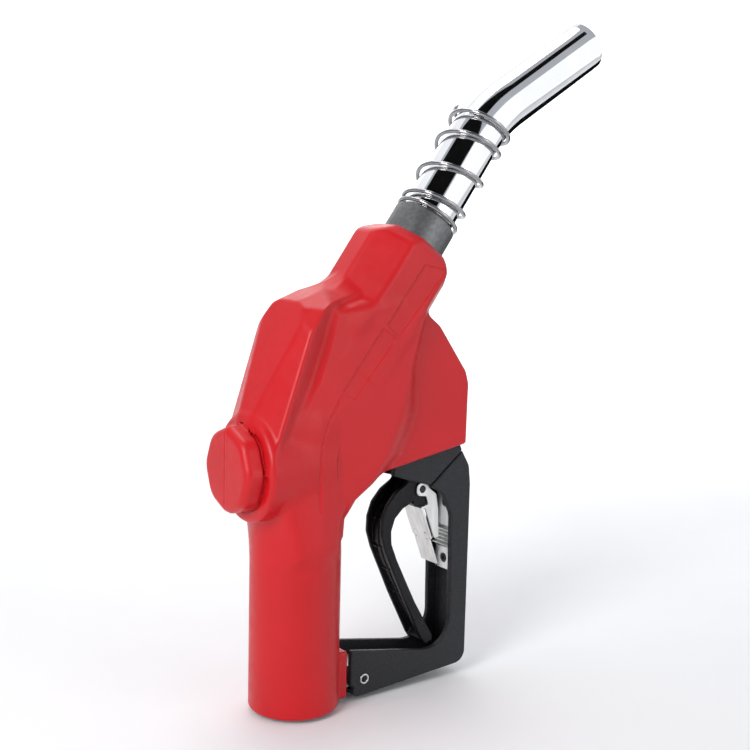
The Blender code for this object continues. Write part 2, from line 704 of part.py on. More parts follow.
def make_clip():
    clip = plate(CLIP_OUTLINE, CLIP_HALF)
    narrow = [(90, 89.4), (104, 89.4), (104, 68), (90, 68)]
    leg_inside = 7.6 * MM
    leg_outside = 12 * MM
    cut(
        clip,
        plate(CLIP_ROOM_OUTLINE, CLIP_HALF - CLIP_SHEET),
        plate(narrow, span=(leg_inside, leg_outside)),
        plate(narrow, span=(-leg_outside, -leg_inside)),
        crosswise(CLIP_PIN_HOLE, CLIP_PIVOT.x, CLIP_PIVOT.z, 20 * MM),
    )
    keep(clip, "hold_open_clip", "stainless")
    keep(crosswise(2.0 * MM, CLIP_PIVOT.x, CLIP_PIVOT.z, SLOT_HALF - GAP), "clip_pivot_pin", "steel")
    coil = wire(helix(3.3 * MM, -2.2 * MM, 2.2 * MM, 3.0), 0.55 * MM)
    coil.rotation_euler.x = math.radians(90.0)
    coil.location = CLIP_PIVOT
    keep(coil, "clip_spring", "steel")


# ---------------------------------------------------------------- guard and rack

GUARD_OUTLINE = [
    (112.9, 143.4), (118.6, 134, 10), (120, 122, 10), (120, 7.4, 8), (37.5, 1.2), (34.2, 2.6), (34.2, 7.8),
    (32, 8.8), (32, 30.8), (86, 21.1, 20), (107, 18.5, 17), (105.4, 104, 14), (98.4, 118.2, 6), (88.9, 123.8),
]
GUARD_ROOM_OUTLINE = [
    (20, 5.3), (38, 5.3), (108, 10.7), (113.5, 11.2, 4), (113.5, 122, 8), (112, 133), (107, 148), (82, 148),
    (82, 60), (20, 60),
]
BRACKET_OUTLINE = [
    (60, 133.4), (70.9, 129.6, 8), (88.4, 124.6), (112.4, 144.1), (110.3, 149), (110.3, 184, 4), (86.5, 219),
    (72, 219), (66, 190), (62.5, 152),
]
BRACKET_ROOM_OUTLINE = [
    (50, 100), (99, 100), (107.5, 138), (106.5, 150), (106.5, 183, 4), (83, 226), (50, 226),
]


def rack_rod(z, first, last, radius, sides=16):
    """A cylinder along X through the middle of the rack, sizes but the radius in mm."""
    return rod(Vector((first, 0, z)) * MM, Vector((last, 0, z)) * MM, radius, sides)


def bracket_rod(side, near, far, radius, sides=16):
    """A cylinder along Y on the bracket screws' axis, sizes but the radius in mm."""
    return rod(
        BRACKET_SCREW + Vector((0, side * near, 0)) * MM, BRACKET_SCREW + Vector((0, side * far, 0)) * MM,
        radius, sides,
    )


def make_guard():
    guard = plate(GUARD_OUTLINE, GUARD_HALF)
    cut(
        guard,
        plate(GUARD_ROOM_OUTLINE, SLOT_HALF),
        crosswise(GUARD_PIN_HOLE, GUARD_PIN.x, GUARD_PIN.z, 20 * MM),
        *(rack_rod(z, RACK_BACK - 5, RACK_BACK + 3.6, RACK_SCREW_HOLE, 12) for z in RACK_SCREWS),
    )
    keep(guard, "hand_guard", "black_plastic")
    bracket = plate(BRACKET_OUTLINE, GUARD_HALF)
    cut(
        bracket,
        plate(BRACKET_ROOM_OUTLINE, SLOT_HALF),
        crosswise(SCREW_HOLE, BRACKET_SCREW.x, BRACKET_SCREW.z, 20 * MM, sides=12),
        *(bracket_rod(side, 11.3, 20, 3.6 * MM) for side in (-1, 1)),
    )
    keep(bracket, "guard_bracket", "black_plastic")
    for number, side in enumerate((-1, 1), start=1):
        shank = bracket_rod(side, 3, 12, 1.6 * MM, 12)
        head = bracket_rod(side, 11.6, 12.9, 3.2 * MM)
        keep(join(head, shank), f"bracket_screw_{number}", "stainless")
    pin = crosswise(3.2 * MM, GUARD_PIN.x, GUARD_PIN.z, GUARD_HALF + 0.2 * MM)
    keep(cut(pin, crosswise(2.1 * MM, GUARD_PIN.x, GUARD_PIN.z, 30 * MM)), "guard_pin", "stainless")


def make_rack():
    face, root, tip = RACK_BACK - 2.7, RACK_BACK - 3.8, RACK_BACK - 6.0
    outline = [(RACK_BACK, 66), (RACK_BACK, 117), (face, 117), (face, RACK_TEETH_TOP)]
    for i in range(RACK_TEETH):
        top = RACK_TEETH_TOP - i * RACK_PITCH
        outline += [(tip, top - 0.7), (tip, top - 1.2), (root, top - 2.2)]
    outline += [(face, 80), (face, 66)]
    rack = plate(outline, 8.0 * MM)
    for z in RACK_SCREWS:
        cut(
            rack, rack_rod(z, RACK_BACK - 10, RACK_BACK + 5, RACK_SCREW_HOLE, 12),
            rack_rod(z, RACK_BACK - 10, RACK_BACK - 1.1, 3.0 * MM),
        )
    keep(rack, "hold_open_rack", "stainless")
    for number, z in enumerate(RACK_SCREWS, start=1):
        screw = rack_rod(z, RACK_BACK - 2.5, RACK_BACK - 1.3, 2.6 * MM)
        join(screw, rack_rod(z, RACK_BACK - 1.7, RACK_BACK + 3.1, 1.5 * MM, 12))
        keep(screw, f"rack_screw_{number}", "steel")


# ---------------------------------------------------------------- spout

COIL_RISE = [
    (-0.6, 153.5), (0.2, 154.4), (1.0, 162.0), (2.0, 185.0), (3.0, 209.0), (4.0, 222.4), (4.7, 224.0),
]


def spout_path(first, offset=0.0, short=0.0):
    """Points down the middle of the spout from this distance, offset to its lower side."""
    across = Vector((SPOUT_AXIS.z, 0.0, -SPOUT_AXIS.x))
    path = [SPOUT_START + SPOUT_AXIS * first + across * offset]
    steps = 10
    for i in range(steps + 1):
        angle = SPOUT_BEND * i / steps
        ahead = SPOUT_AXIS * math.sin(angle) + across * (1 - math.cos(angle))
        radial = across * math.cos(angle) - SPOUT_AXIS * math.sin(angle)
        path.append(spout_point(SPOUT_BEND_START) + ahead * SPOUT_BEND_RADIUS + radial * offset)
    tip_axis = SPOUT_AXIS * math.cos(SPOUT_BEND) + across * math.sin(SPOUT_BEND)
    path.append(path[-1] + tip_axis * (SPOUT_STRAIGHT - short))
    return path


def coil_height(turn):
    """The spout coil's height in mm after this many turns, eased between the listed heights."""
    for (a, low), (b, high) in zip(COIL_RISE, COIL_RISE[1:]):
        if turn <= b:
            return low + (high - low) * (turn - a) / (b - a)
    return COIL_RISE[-1][1]


def coil_points():
    first, last = COIL_RISE[0][0], COIL_RISE[-1][0]
    count = round((last - first) * COIL_STEPS)
    points = []
    for i in range(count + 1):
        turn = first + (last - first) * i / count
        near = [coil_height(min(last, max(first, turn + d))) for d in (-0.25, -0.12, 0.0, 0.12, 0.25)]
        angle = 2 * math.pi * turn - math.pi / 2
        points.append((COIL_RADIUS * math.cos(angle), COIL_RADIUS * math.sin(angle), sum(near) / 5 * MM))
    return points


def tube(outer, wall, path, resolution):
    """A bent tube: its outside with its bore, longer at both ends, cut from it."""
    inside = list(path)
    inside[0] = path[0] + (path[0] - path[1]).normalized() * 4 * MM
    inside[-1] = path[-1] + (path[-1] - path[-2]).normalized() * 4 * MM
    shell = mesh_of(wire(path, outer, resolution))
    return cut(shell, mesh_of(wire(inside, outer - wall, resolution)))


def make_spout():
    top, foot = COLLAR_TOP / MM, COLLAR_FOOT / MM
    across, bore = COLLAR_RADIUS / MM, COLLAR_BORE / MM
    collar = turned(
        [(across - 1.1, top), (across, top - 1.1), (across, foot), (bore, foot), (bore, top)],
        SPOUT, steps=40,
    )
    keep(collar, "spout_collar", "collar_metal")
    keep(tube(SPOUT_RADIUS, SPOUT_WALL, spout_path(118.8 * MM), 14), "spout_tube", "chrome")
    keep(ring(SPOUT_RADIUS / MM + 1.3, 0.85, 120.95, SPOUT), "spout_o_ring", "rubber")
    keep(wire(coil_points(), WIRE_RADIUS, frame=SPOUT), "spout_spring", "chrome")
    sensing = wire(spout_path(120.0 * MM, SENSING_OFFSET, 12.0 * MM), 2.2 * MM, 2)
    keep(sensing, "sensing_tube", "steel")
    seat = turned([(14, 92), (14, 88), (8.5, 88), (8.5, 92)], SPOUT)
    keep(seat, "check_valve_seat", "brass")
    poppet = turned(
        [(0, 104), (2, 104), (2, 96), (10.5, 96), (10.5, 93.5), (8.2, 92.3), (0, 92.3)], SPOUT,
    )
    keep(poppet, "check_valve", "brass")
    spring = wire(helix(6 * MM, 97.0 * MM, 111.4 * MM, 4.0), 0.5 * MM, frame=SPOUT)
    keep(spring, "check_valve_spring", "steel")
    retainer = turned([(14, 115), (14, 112), (3.2, 112), (3.2, 115)], SPOUT)
    for i in range(RETAINER_HOLES):
        angle = 2 * math.pi * i / RETAINER_HOLES
        offset = (9.6 * MM * math.cos(angle), 9.6 * MM * math.sin(angle))
        cut(retainer, cylinder(2.6 * MM, 105 * MM, 120 * MM, SPOUT, sides=12, offset=offset))
    keep(retainer, "spring_retainer", "brass")


# ---------------------------------------------------------------- moving groups

def moving_group(name, origin, pieces):
    """An empty on the group's joint axis, with the group's parts as its children."""
    centre = bpy.data.objects.new(name, None)
    centre.location = origin
    PARTS.objects.link(centre)
    for piece in pieces:
        obj = bpy.data.objects[piece]
        obj.parent = centre
        obj.matrix_parent_inverse = Matrix.Translation(-origin)


make_cover()
make_casting()
make_valve()
make_trip()
make_lever()
make_clip()
make_guard()
make_rack()
make_spout()
moving_group("valve_slide", VALVE[0], ["main_poppet", "poppet_seal", "main_stem"])
moving_group("latch_slide", TRIP_START, ["latch_pin"])
moving_group(
    "trip_slide", TRIP_START,
    ["trip_stem", "latch_ball_1", "latch_ball_2", "latch_ball_3", "lever_pivot_pin"],
)
moving_group("lever_hinge", PIVOT, ["lever", "clip_pivot_pin", "clip_spring"])
moving_group("clip_hinge", CLIP_PIVOT, ["hold_open_clip"])
moving_group("check_slide", SPOUT_START, ["check_valve"])
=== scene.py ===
"""The looks of the fuel nozzle: skins, sheet parts, chrome and materials over the CAD parts, and a studio."""

import json
import math

import bmesh
import bpy
import numpy as np
from mathutils import Matrix, Vector


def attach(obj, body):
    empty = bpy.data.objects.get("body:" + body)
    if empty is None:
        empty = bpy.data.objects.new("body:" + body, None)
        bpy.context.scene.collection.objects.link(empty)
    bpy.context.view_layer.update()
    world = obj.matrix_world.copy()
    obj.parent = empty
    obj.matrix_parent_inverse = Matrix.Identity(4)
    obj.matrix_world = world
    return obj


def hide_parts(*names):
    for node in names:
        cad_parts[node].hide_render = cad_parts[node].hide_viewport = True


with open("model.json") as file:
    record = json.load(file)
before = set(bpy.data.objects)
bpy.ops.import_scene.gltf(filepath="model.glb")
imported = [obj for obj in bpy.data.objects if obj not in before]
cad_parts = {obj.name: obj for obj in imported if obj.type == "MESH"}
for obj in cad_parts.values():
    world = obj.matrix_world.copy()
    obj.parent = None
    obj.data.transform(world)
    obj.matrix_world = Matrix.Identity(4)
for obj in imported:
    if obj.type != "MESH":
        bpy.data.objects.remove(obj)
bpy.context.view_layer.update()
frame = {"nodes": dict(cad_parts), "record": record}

# Lengths are in mm in the frame of the CAD until a mesh is made.
SPOUT_START = np.array((0.0, 0.0, 161.0))
SPOUT_TILT = math.radians(35.5)
SPOUT_BEND = math.radians(22.6)
SPOUT_BEND_RADIUS = 94.0
SPOUT_BEND_START = 210.0
SPOUT_STRAIGHT = 74.9
SPOUT_RADIUS = 16.1
SPOUT_WALL = 1.2
COLLAR_RADIUS = 19.4
COIL_RADIUS = 18.8
SPOUT_AXIS = np.array((math.sin(SPOUT_TILT), 0.0, math.cos(SPOUT_TILT)))
SPOUT_UP = np.array((-SPOUT_AXIS[2], 0.0, SPOUT_AXIS[0]))
TRIP_AXIS = np.array((0.9159, 0.0, -0.4014))
PIVOT = np.array((93.0, 0.0, 163.3))
TRIP_START = PIVOT - TRIP_AXIS * 122.0
CLIP_PIVOT = (85.4, 121.8)
GUARD_PIN = (42.1, 11.5)
WALL = 3.0


# ---------------------------------------------------------------- distance fields

def blend_min(a, b, k):
    """The union of two forms with a fillet about k wide."""
    h = np.clip(0.5 + 0.5 * (b - a) / k, 0.0, 1.0)
    return b + (a - b) * h - k * h * (1.0 - h)


def blend_max(a, b, k):
    return -blend_min(-a, -b, k)


def round_max(a, b, r):
    """Where two forms meet, with their outer edge rounded to r."""
    corner = np.hypot(np.maximum(a + r, 0.0), np.maximum(b + r, 0.0))
    return np.minimum(np.maximum(a + r, b + r), 0.0) + corner - r


def arcs(corners):
    """Corners as (x, z) or (x, z, radius), with each radius as an arc."""
    outline = []
    count = len(corners)
    for i, corner in enumerate(corners):
        here = Vector(corner[:2])
        if len(corner) < 3:
            outline.append(tuple(here))
            continue
        back = (Vector(corners[i - 1][:2]) - here).normalized()
        ahead = (Vector(corners[(i + 1) % count][:2]) - here).normalized()
        half = back.angle(ahead) / 2
        centre = here + (back + ahead).normalized() * corner[2] / math.sin(half)
        first = here + back * corner[2] / math.tan(half) - centre
        last = here + ahead * corner[2] / math.tan(half) - centre
        steps = max(3, round(first.angle(last) / math.radians(9.0)))
        for k in range(steps + 1):
            outline.append(tuple(centre + first.lerp(last, k / steps).normalized() * corner[2]))
    return outline


def polygon(u, v, corners):
    """Signed distance to a polygon, negative inside."""
    nearest = np.full(u.shape, 1e9, np.float32)
    inside = np.zeros(u.shape, bool)
    for (ax, az), (bx, bz) in zip(corners[-1:] + corners[:-1], corners):
        ex, ez = bx - ax, bz - az
        wx, wz = u - ax, v - az
        t = np.clip((wx * ex + wz * ez) / (ex * ex + ez * ez), 0.0, 1.0)
        nearest = np.minimum(nearest, (wx - ex * t) ** 2 + (wz - ez * t) ** 2)
        if az != bz:
            inside ^= ((az > v) != (bz > v)) & (u < ax + ex * wz / ez)
    return np.where(inside, -1.0, 1.0) * np.sqrt(nearest)


def prism(p, corners, half, r=0.8):
    """A flat outline in XZ, half thick to each side of Y = 0, with its long edges rounded."""
    return round_max(polygon(p[0], p[2], corners), np.abs(p[1]) - half, r)


def box(p, low, high, r=0.5):
    q = [np.maximum(low[i] - p[i], p[i] - high[i]) for i in range(3)]
    return round_max(round_max(q[0], q[1], r), q[2], r)


def crosswise(p, centre, radius):
    return np.hypot(p[0] - centre[0], p[2] - centre[1]) - radius


def about_spout(p):
    """Distance along the spout's axis, and up and across from it."""
    q = [p[i] - SPOUT_START[i] for i in range(3)]
    along = q[0] * SPOUT_AXIS[0] + q[2] * SPOUT_AXIS[2]
    return along, q[0] * SPOUT_UP[0] + q[2] * SPOUT_UP[2], q[1]


def plane(p, point, normal):
    return sum((p[i] - point[i]) * normal[i] for i in range(3))


def through(a, b, c, inside):
    a, b, c = (np.array(q, float) for q in (a, b, c))
    normal = np.cross(b - a, c - a)
    normal /= np.linalg.norm(normal)
    return a, -normal if normal @ (np.array(inside) - a) > 0 else normal


def segments(u, v, points):
    """Distance to a polyline."""
    nearest = np.full(u.shape, 1e9, np.float32)
    for (ax, az), (bx, bz) in zip(points, points[1:]):
        ex, ez = bx - ax, bz - az
        t = np.clip(((u - ax) * ex + (v - az) * ez) / (ex * ex + ez * ez), 0.0, 1.0)
        nearest = np.minimum(nearest, np.hypot(u - ax - ex * t, v - az - ez * t))
    return nearest


# ---------------------------------------------------------------- meshing

COARSENESS = 4.0
NEAR_SURFACE = 5.5
PROJECTIONS = 3
GRADIENT_REACH = 0.06


def grid_values(field, axes, step):
    """The field on the grid: a coarse pass everywhere, then every point near the surface. It is even in Y."""
    wide = COARSENESS * step
    coarse_axes = [np.arange(a[0], a[-1] + wide, wide, np.float32) for a in axes]
    coarse = field(np.meshgrid(*coarse_axes, indexing="ij"))
    nearest = [np.round((a - a[0]) / wide).astype(int) for a in axes]
    index = [np.clip(n, 0, len(c) - 1) for n, c in zip(nearest, coarse_axes)]
    values = coarse[np.ix_(*index)].astype(np.float32)
    near = np.argwhere(np.abs(values) < NEAR_SURFACE * step)
    points = [axes[i][near[:, i]] for i in range(3)]
    values[tuple(near.T)] = field(points)
    return values


def gradient(field, points):
    parts = []
    for i in range(3):
        ahead, behind = [p.copy() for p in points], [p.copy() for p in points]
        ahead[i] += GRADIENT_REACH
        behind[i] -= GRADIENT_REACH
        parts.append((field(ahead) - field(behind)) / (2 * GRADIENT_REACH))
    return parts


def surface(name, field, low, high, step, finish):
    """A mesh of the field's zero surface, with its normals from the field."""
    xs, zs = (np.arange(low[i], high[i] + step, step, np.float32) for i in (0, 2))
    ys = np.arange(0.0, high[1] + step, step, np.float32)
    half = grid_values(field, (xs, ys, zs), step)
    values = np.concatenate([half[:, :0:-1], half], axis=1)
    ys = np.concatenate([-ys[:0:-1], ys])
    solid = values < 0
    cells = tuple(n - 1 for n in values.shape)
    total = np.zeros(cells + (3,), np.float32)
    count = np.zeros(cells, np.float32)
    quads = []
    for axis in range(3):
        first = [slice(None)] * 3
        second = [slice(None)] * 3
        first[axis], second[axis] = slice(None, -1), slice(1, None)
        a, b = values[tuple(first)], values[tuple(second)]
        within = solid[tuple(first)]
        crossing = within != solid[tuple(second)]
        where = np.argwhere(crossing)
        va, vb = a[crossing], b[crossing]
        point = where.astype(np.float32)
        point[:, axis] += va / (va - vb)
        u, w = (axis + 1) % 3, (axis + 2) % 3
        corners = []
        keep = np.ones(len(where), bool)
        for du, dw in ((0, 0), (1, 0), (1, 1), (0, 1)):
            cell = where.copy()
            cell[:, u] -= du
            cell[:, w] -= dw
            keep &= (cell >= 0).all(1) & (cell < np.array(cells)).all(1)
            corners.append(cell)
        for cell in corners:
            at = tuple(cell[keep].T)
            np.add.at(total, at, point[keep])
            np.add.at(count, at, 1.0)
        quad = np.stack([np.ravel_multi_index(tuple(c[keep].T), cells) for c in corners], 1)
        flip = ~within[crossing][keep]
        quad[flip] = quad[flip][:, ::-1]
        quads.append(quad)
    quads = np.concatenate(quads)
    used, faces = np.unique(quads, return_inverse=True)
    faces = faces.reshape(-1, 4)
    places = (total.reshape(-1, 3)[used] / count.reshape(-1)[used][:, None]).astype(np.float64)
    points = [low[0] + places[:, 0] * step, ys[0] + places[:, 1] * step, low[2] + places[:, 2] * step]
    for _ in range(PROJECTIONS):
        value = field(points)
        slope = gradient(field, points)
        size = np.maximum(sum(g * g for g in slope), 0.2)
        move = np.clip(value / size, -0.5 * step, 0.5 * step)
        points = [p - g * move for p, g in zip(points, slope)]
    normals = np.stack(gradient(field, points), 1)
    normals /= np.maximum(np.linalg.norm(normals, axis=1, keepdims=True), 1e-6)
    mesh = bpy.data.meshes.new(name)
    mesh.vertices.add(len(used))
    mesh.vertices.foreach_set("co", (np.stack(points, 1) * 0.001).astype(np.float32).ravel())
    mesh.loops.add(len(faces) * 4)
    mesh.loops.foreach_set("vertex_index", faces.astype(np.int32).ravel())
    mesh.polygons.add(len(faces))
    mesh.polygons.foreach_set("loop_start", np.arange(0, len(faces) * 4, 4, dtype=np.int32))
    mesh.polygons.foreach_set("use_smooth", np.ones(len(faces), bool))
    mesh.update(calc_edges=True)
    mesh.validate()
    mesh.normals_split_custom_set_from_vertices(normals.astype(np.float32))
    return shown(name, mesh, finish)


def shown(name, mesh, finish):
    obj = bpy.data.objects.new(name, mesh)
    bpy.context.scene.collection.objects.link(obj)
    mesh.materials.append(finish)
    return obj


def lathe(name, profile, origin, axis, finish, sides=72):
    """A turned piece from (radius, along) points, closed or ending on the axis, about origin and axis."""
    axis = Vector(axis).normalized()
    side = axis.orthogonal().normalized()
    other = axis.cross(side)
    rings, faces = [], []
    for radius, along in profile:
        for i in range(sides):
            angle = 2 * math.pi * i / sides
            out = side * math.cos(angle) + other * math.sin(angle)
            rings.append((Vector(origin) + axis * along + out * radius) * 0.001)
    closed = profile[0][0] > 1e-6 and profile[-1][0] > 1e-6
    count = len(profile)
    for j in range(count if closed else count - 1):
        a, b = j * sides, (j + 1) % count * sides
        for i in range(sides):
            k = (i + 1) % sides
            faces.append((a + i, a + k, b + k, b + i))
    mesh = bpy.data.meshes.new(name)
    mesh.from_pydata(rings, [], faces)
    return tidy(shown(name, mesh, finish))


def tidy(obj, sharp=50.0):
    """Merges coincident points, turns the faces out and shades smooth between sharp edges."""
    bm = bmesh.new()
    bm.from_mesh(obj.data)
    bmesh.ops.remove_doubles(bm, verts=bm.verts, dist=1e-7)
    bmesh.ops.recalc_face_normals(bm, faces=bm.faces)
    for face in bm.faces:
        face.smooth = True
    for edge in bm.edges:
        edge.smooth = not (len(edge.link_faces) == 2 and edge.calc_face_angle(0.0) > math.radians(sharp))
    bm.to_mesh(obj.data)
    bm.free()
    return obj


def rounded_profile(corners, step=15.0):
    """A closed (radius, along) section with (r, along, rounding) corners."""
    section = []
    count = len(corners)
    for i, corner in enumerate(corners):
        if len(corner) < 3:
            section.append(corner)
            continue
        here = Vector(corner[:2])
        back = (Vector(corners[i - 1][:2]) - here).normalized()
        ahead = (Vector(corners[(i + 1) % count][:2]) - here).normalized()
        half = back.angle(ahead) / 2
        centre = here + (back + ahead).normalized() * corner[2] / math.sin(half)
        first = here + back * corner[2] / math.tan(half) - centre
        last = here + ahead * corner[2] / math.tan(half) - centre
        steps = max(2, round(math.degrees(first.angle(last)) / step))
        for k in range(steps + 1):
            section.append(tuple(centre + first.lerp(last, k / steps).normalized() * corner[2]))
    return section


# ---------------------------------------------------------------- materials

class Surface:
    """A Principled material with its noises measured in metres in the frame of the object."""

    def __init__(self, name):
        self.material = bpy.data.materials.new(name)
        self.material.use_nodes = True
        self.tree = self.material.node_tree
        self.shader = self.tree.nodes["Principled BSDF"]
        self.coordinate = self.tree.nodes.new("ShaderNodeTexCoord")
        self.height = None

    def node(self, kind, **settings):
        made = self.tree.nodes.new(kind)
        for key, value in settings.items():
            setattr(made, key, value)
        return made

    def link(self, source, target):
        self.tree.links.new(source, target)

    def noise(self, scale, detail=3.0, stretch=(1.0, 1.0, 1.0), rough=0.5):
        mapping = self.node("ShaderNodeMapping")
        mapping.inputs["Scale"].default_value = stretch
        self.link(self.coordinate.outputs["Object"], mapping.inputs["Vector"])
        noise = self.node("ShaderNodeTexNoise")
        noise.inputs["Scale"].default_value = scale
        noise.inputs["Detail"].default_value = detail
        noise.inputs["Roughness"].default_value = rough
        self.link(mapping.outputs["Vector"], noise.inputs["Vector"])
        return noise.outputs["Fac"]

    def cells(self, scale):
        cells = self.node("ShaderNodeTexVoronoi", feature="F1")
        cells.inputs["Scale"].default_value = scale
        self.link(self.coordinate.outputs["Object"], cells.inputs["Vector"])
        return cells.outputs["Distance"]

    def spread(self, value, low, high, start=0.3, end=0.7):
        spread = self.node("ShaderNodeMapRange")
        spread.inputs["From Min"].default_value = start
        spread.inputs["From Max"].default_value = end
        spread.inputs["To Min"].default_value = low
        spread.inputs["To Max"].default_value = high
        self.link(value, spread.inputs["Value"])
        return spread.outputs["Result"]

    def colour(self, value, dark, light):
        mix = self.node("ShaderNodeMix", data_type="RGBA")
        self.link(self.spread(value, 0.0, 1.0), mix.inputs["Factor"])
        mix.inputs[6].default_value = (*dark, 1.0)
        mix.inputs[7].default_value = (*light, 1.0)
        self.link(mix.outputs[2], self.shader.inputs["Base Color"])

    def roughness(self, value, low, high):
        self.link(self.spread(value, low, high), self.shader.inputs["Roughness"])

    def bump(self, value, strength, depth):
        bump = self.node("ShaderNodeBump")
        bump.inputs["Strength"].default_value = strength
        bump.inputs["Distance"].default_value = depth
        self.link(value, bump.inputs["Height"])
        if self.height:
            self.link(self.height, bump.inputs["Normal"])
        self.height = bump.outputs["Normal"]
        self.link(self.height, self.shader.inputs["Normal"])

    def set(self, **values):
        for key, value in values.items():
            self.shader.inputs[key.replace("_", " ")].default_value = value
        return self.material


def red_vinyl():
    s = Surface("red_vinyl_skin")
    s.colour(s.noise(18.0, 4.0), (0.50, 0.003, 0.006), (0.58, 0.004, 0.009))
    s.roughness(s.noise(160.0, 5.0), 0.34, 0.45)
    s.bump(s.noise(55.0, 2.0), 0.25, 0.0006)
    s.bump(s.noise(2200.0, 2.0), 0.05, 0.0002)
    return s.set(IOR=1.42)


def grained_black():
    s = Surface("grained_black")
    s.colour(s.noise(1300.0, 2.0), (0.005, 0.0055, 0.007), (0.022, 0.023, 0.028))
    s.roughness(s.noise(700.0, 4.0), 0.42, 0.62)
    s.bump(s.cells(1500.0), 0.55, 0.0003)
    s.bump(s.noise(2600.0, 3.0), 0.4, 0.0002)
    return s.set(IOR=1.38)


def smooth_black():
    s = Surface("smooth_black")
    s.colour(s.noise(60.0, 4.0), (0.004, 0.004, 0.005), (0.009, 0.009, 0.011))
    s.roughness(s.noise(240.0, 5.0), 0.26, 0.40)
    s.bump(s.noise(1500.0, 3.0), 0.06, 0.0002)
    return s.set(IOR=1.3)


def chrome():
    s = Surface("chrome_plate")
    s.colour(s.noise(30.0, 3.0), (0.80, 0.81, 0.82), (0.90, 0.905, 0.91))
    s.roughness(s.noise(220.0, 6.0), 0.035, 0.085)
    s.bump(s.noise(45.0, 1.0), 0.03, 0.0004)
    return s.set(Metallic=1.0)


def matte_grey():
    s = Surface("collar_grey")
    s.colour(s.noise(500.0, 4.0), (0.125, 0.127, 0.13), (0.175, 0.177, 0.18))
    s.roughness(s.noise(300.0, 4.0), 0.36, 0.5)
    s.bump(s.noise(1400.0, 3.0), 0.12, 0.0002)
    return s.set(Metallic=0.75)


def sheet_steel():
    s = Surface("sheet_stainless")
    s.colour(s.noise(260.0, 5.0, (1.0, 1.0, 0.08)), (0.60, 0.60, 0.59), (0.78, 0.78, 0.77))
    s.roughness(s.noise(500.0, 4.0, (1.0, 1.0, 0.06)), 0.28, 0.42)
    s.bump(s.noise(1800.0, 3.0, (1.0, 1.0, 0.05)), 0.08, 0.0001)
    return s.set(Metallic=1.0)


def metal(name, dark, light, low, high):
    s = Surface(name)
    s.colour(s.noise(200.0, 5.0), dark, light)
    s.roughness(s.noise(600.0, 4.0), low, high)
    s.bump(s.noise(1200.0, 3.0), 0.1, 0.0002)
    return s.set(Metallic=1.0)


def cast_metal():
    s = Surface("cast_metal")
    s.colour(s.noise(90.0, 6.0), (0.40, 0.41, 0.42), (0.58, 0.59, 0.60))
    s.roughness(s.noise(300.0, 5.0), 0.42, 0.62)
    s.bump(s.noise(900.0, 4.0), 0.35, 0.0003)
    return s.set(Metallic=1.0)


def black_rubber():
    s = Surface("seal_rubber")
    s.colour(s.noise(400.0, 4.0), (0.012, 0.012, 0.012), (0.028, 0.028, 0.028))
    s.roughness(s.noise(500.0, 3.0), 0.65, 0.85)
    s.bump(s.noise(1500.0, 3.0), 0.2, 0.0002)
    return s.set(IOR=1.5)


RED = red_vinyl()
GRAIN = grained_black()
BLACK = smooth_black()
CHROME = chrome()
GREY = matte_grey()
SHEET = sheet_steel()
STEEL = metal("turned_steel", (0.42, 0.42, 0.43), (0.58, 0.58, 0.59), 0.25, 0.4)
DARK_STEEL = metal("dark_steel", (0.035, 0.035, 0.037), (0.07, 0.07, 0.072), 0.3, 0.45)
# The coil's chrome gets a darker base colour. This is painted shade standing in for the dark surroundings and
# neighbouring turns that the wire reflects.
COIL_CHROME_PAINTED_DARK = metal("coil_chrome_painted_dark", (0.30, 0.30, 0.31), (0.40, 0.40, 0.41), 0.1, 0.18)
BRASS = metal("turned_brass", (0.62, 0.42, 0.16), (0.78, 0.56, 0.26), 0.22, 0.36)
CASTING = cast_metal()
RUBBER = black_rubber()

CAD_FINISHES = {
    "red_vinyl": RED, "cast_aluminium": CASTING, "black_plastic": GRAIN, "collar_metal": GREY,
    "chrome": CHROME, "stainless": SHEET, "steel": STEEL, "brass": BRASS, "rubber": RUBBER,
}
for part in frame["record"]["subparts"]:
    node = frame["nodes"][part["node"]]
    node.data.materials.clear()
    node.data.materials.append(CAD_FINISHES[part["material_slot"]])


# ---------------------------------------------------------------- cover

INSIDE_BULGE = (5.0, 0.0, 205.0)
BULGE_PLANES = [
    (TRIP_START, -TRIP_AXIS),
    through((-15.2, 13.6, 227.5), (-31.6, 7.6, 184.6), (-14.3, 29.0, 209.1), INSIDE_BULGE),
    through((-14.3, 29.0, 209.1), (-24.0, 29.0, 182.5), (-4.3, 24.5, 213.5), INSIDE_BULGE),
    through((2.4, 29.0, 236.2), (-9.3, 29.0, 223.6), (-10.9, 10.3, 238.6), INSIDE_BULGE),
    through((-9.9, 0.0, 238.0), (14.2, 0.0, 247.2), (14.2, 10.0, 247.2), INSIDE_BULGE),
    through((-9.9, 10.3, 238.0), (12.0, 10.3, 246.4), (2.0, 29.0, 235.7), INSIDE_BULGE),
    through((10.0, 6.0, 246.4), (4.4, 29.0, 236.6), (26.2, 25.0, 236.8), INSIDE_BULGE),
    through((-34.0, 0.0, 146.0), (0.0, 0.0, 120.0), (0.0, 10.0, 120.0), INSIDE_BULGE),
]
CORE_OUTLINE = arcs([
    (-23, 126), (-24, 162), (-4, 196), (3, 216), (8, 235.3), (28, 237), (58, 240), (71, 228),
    (64, 200), (58, 172, 30), (45, 148, 20), (33, 133, 10), (22, 125, 8), (15.5, 114, 8), (14, 96), (-14, 96),
])
WING_OUTLINE = arcs([
    (20, 104), (22.5, 112, 10), (31, 125, 12), (45, 134.5, 12), (53, 137.3), (81, 142.4),
    (113.5, 148.4, 2), (114, 186, 8), (111.5, 194, 6), (90.6, 222.2, 8), (78, 232), (40, 235), (10, 180),
])
WING_ROOM = [
    (20, 130), (30, 132.5), (43, 136), (43, 120), (118, 120), (111, 150), (111, 185), (87, 222), (76, 228),
    (40, 230), (14, 180),
]
SOCKET_RING = [(33.0, 8.5), (15.0, 25.6), (-16.0, 25.6), (-28.0, 11.0)]
SOCKET_TOP = 133.5
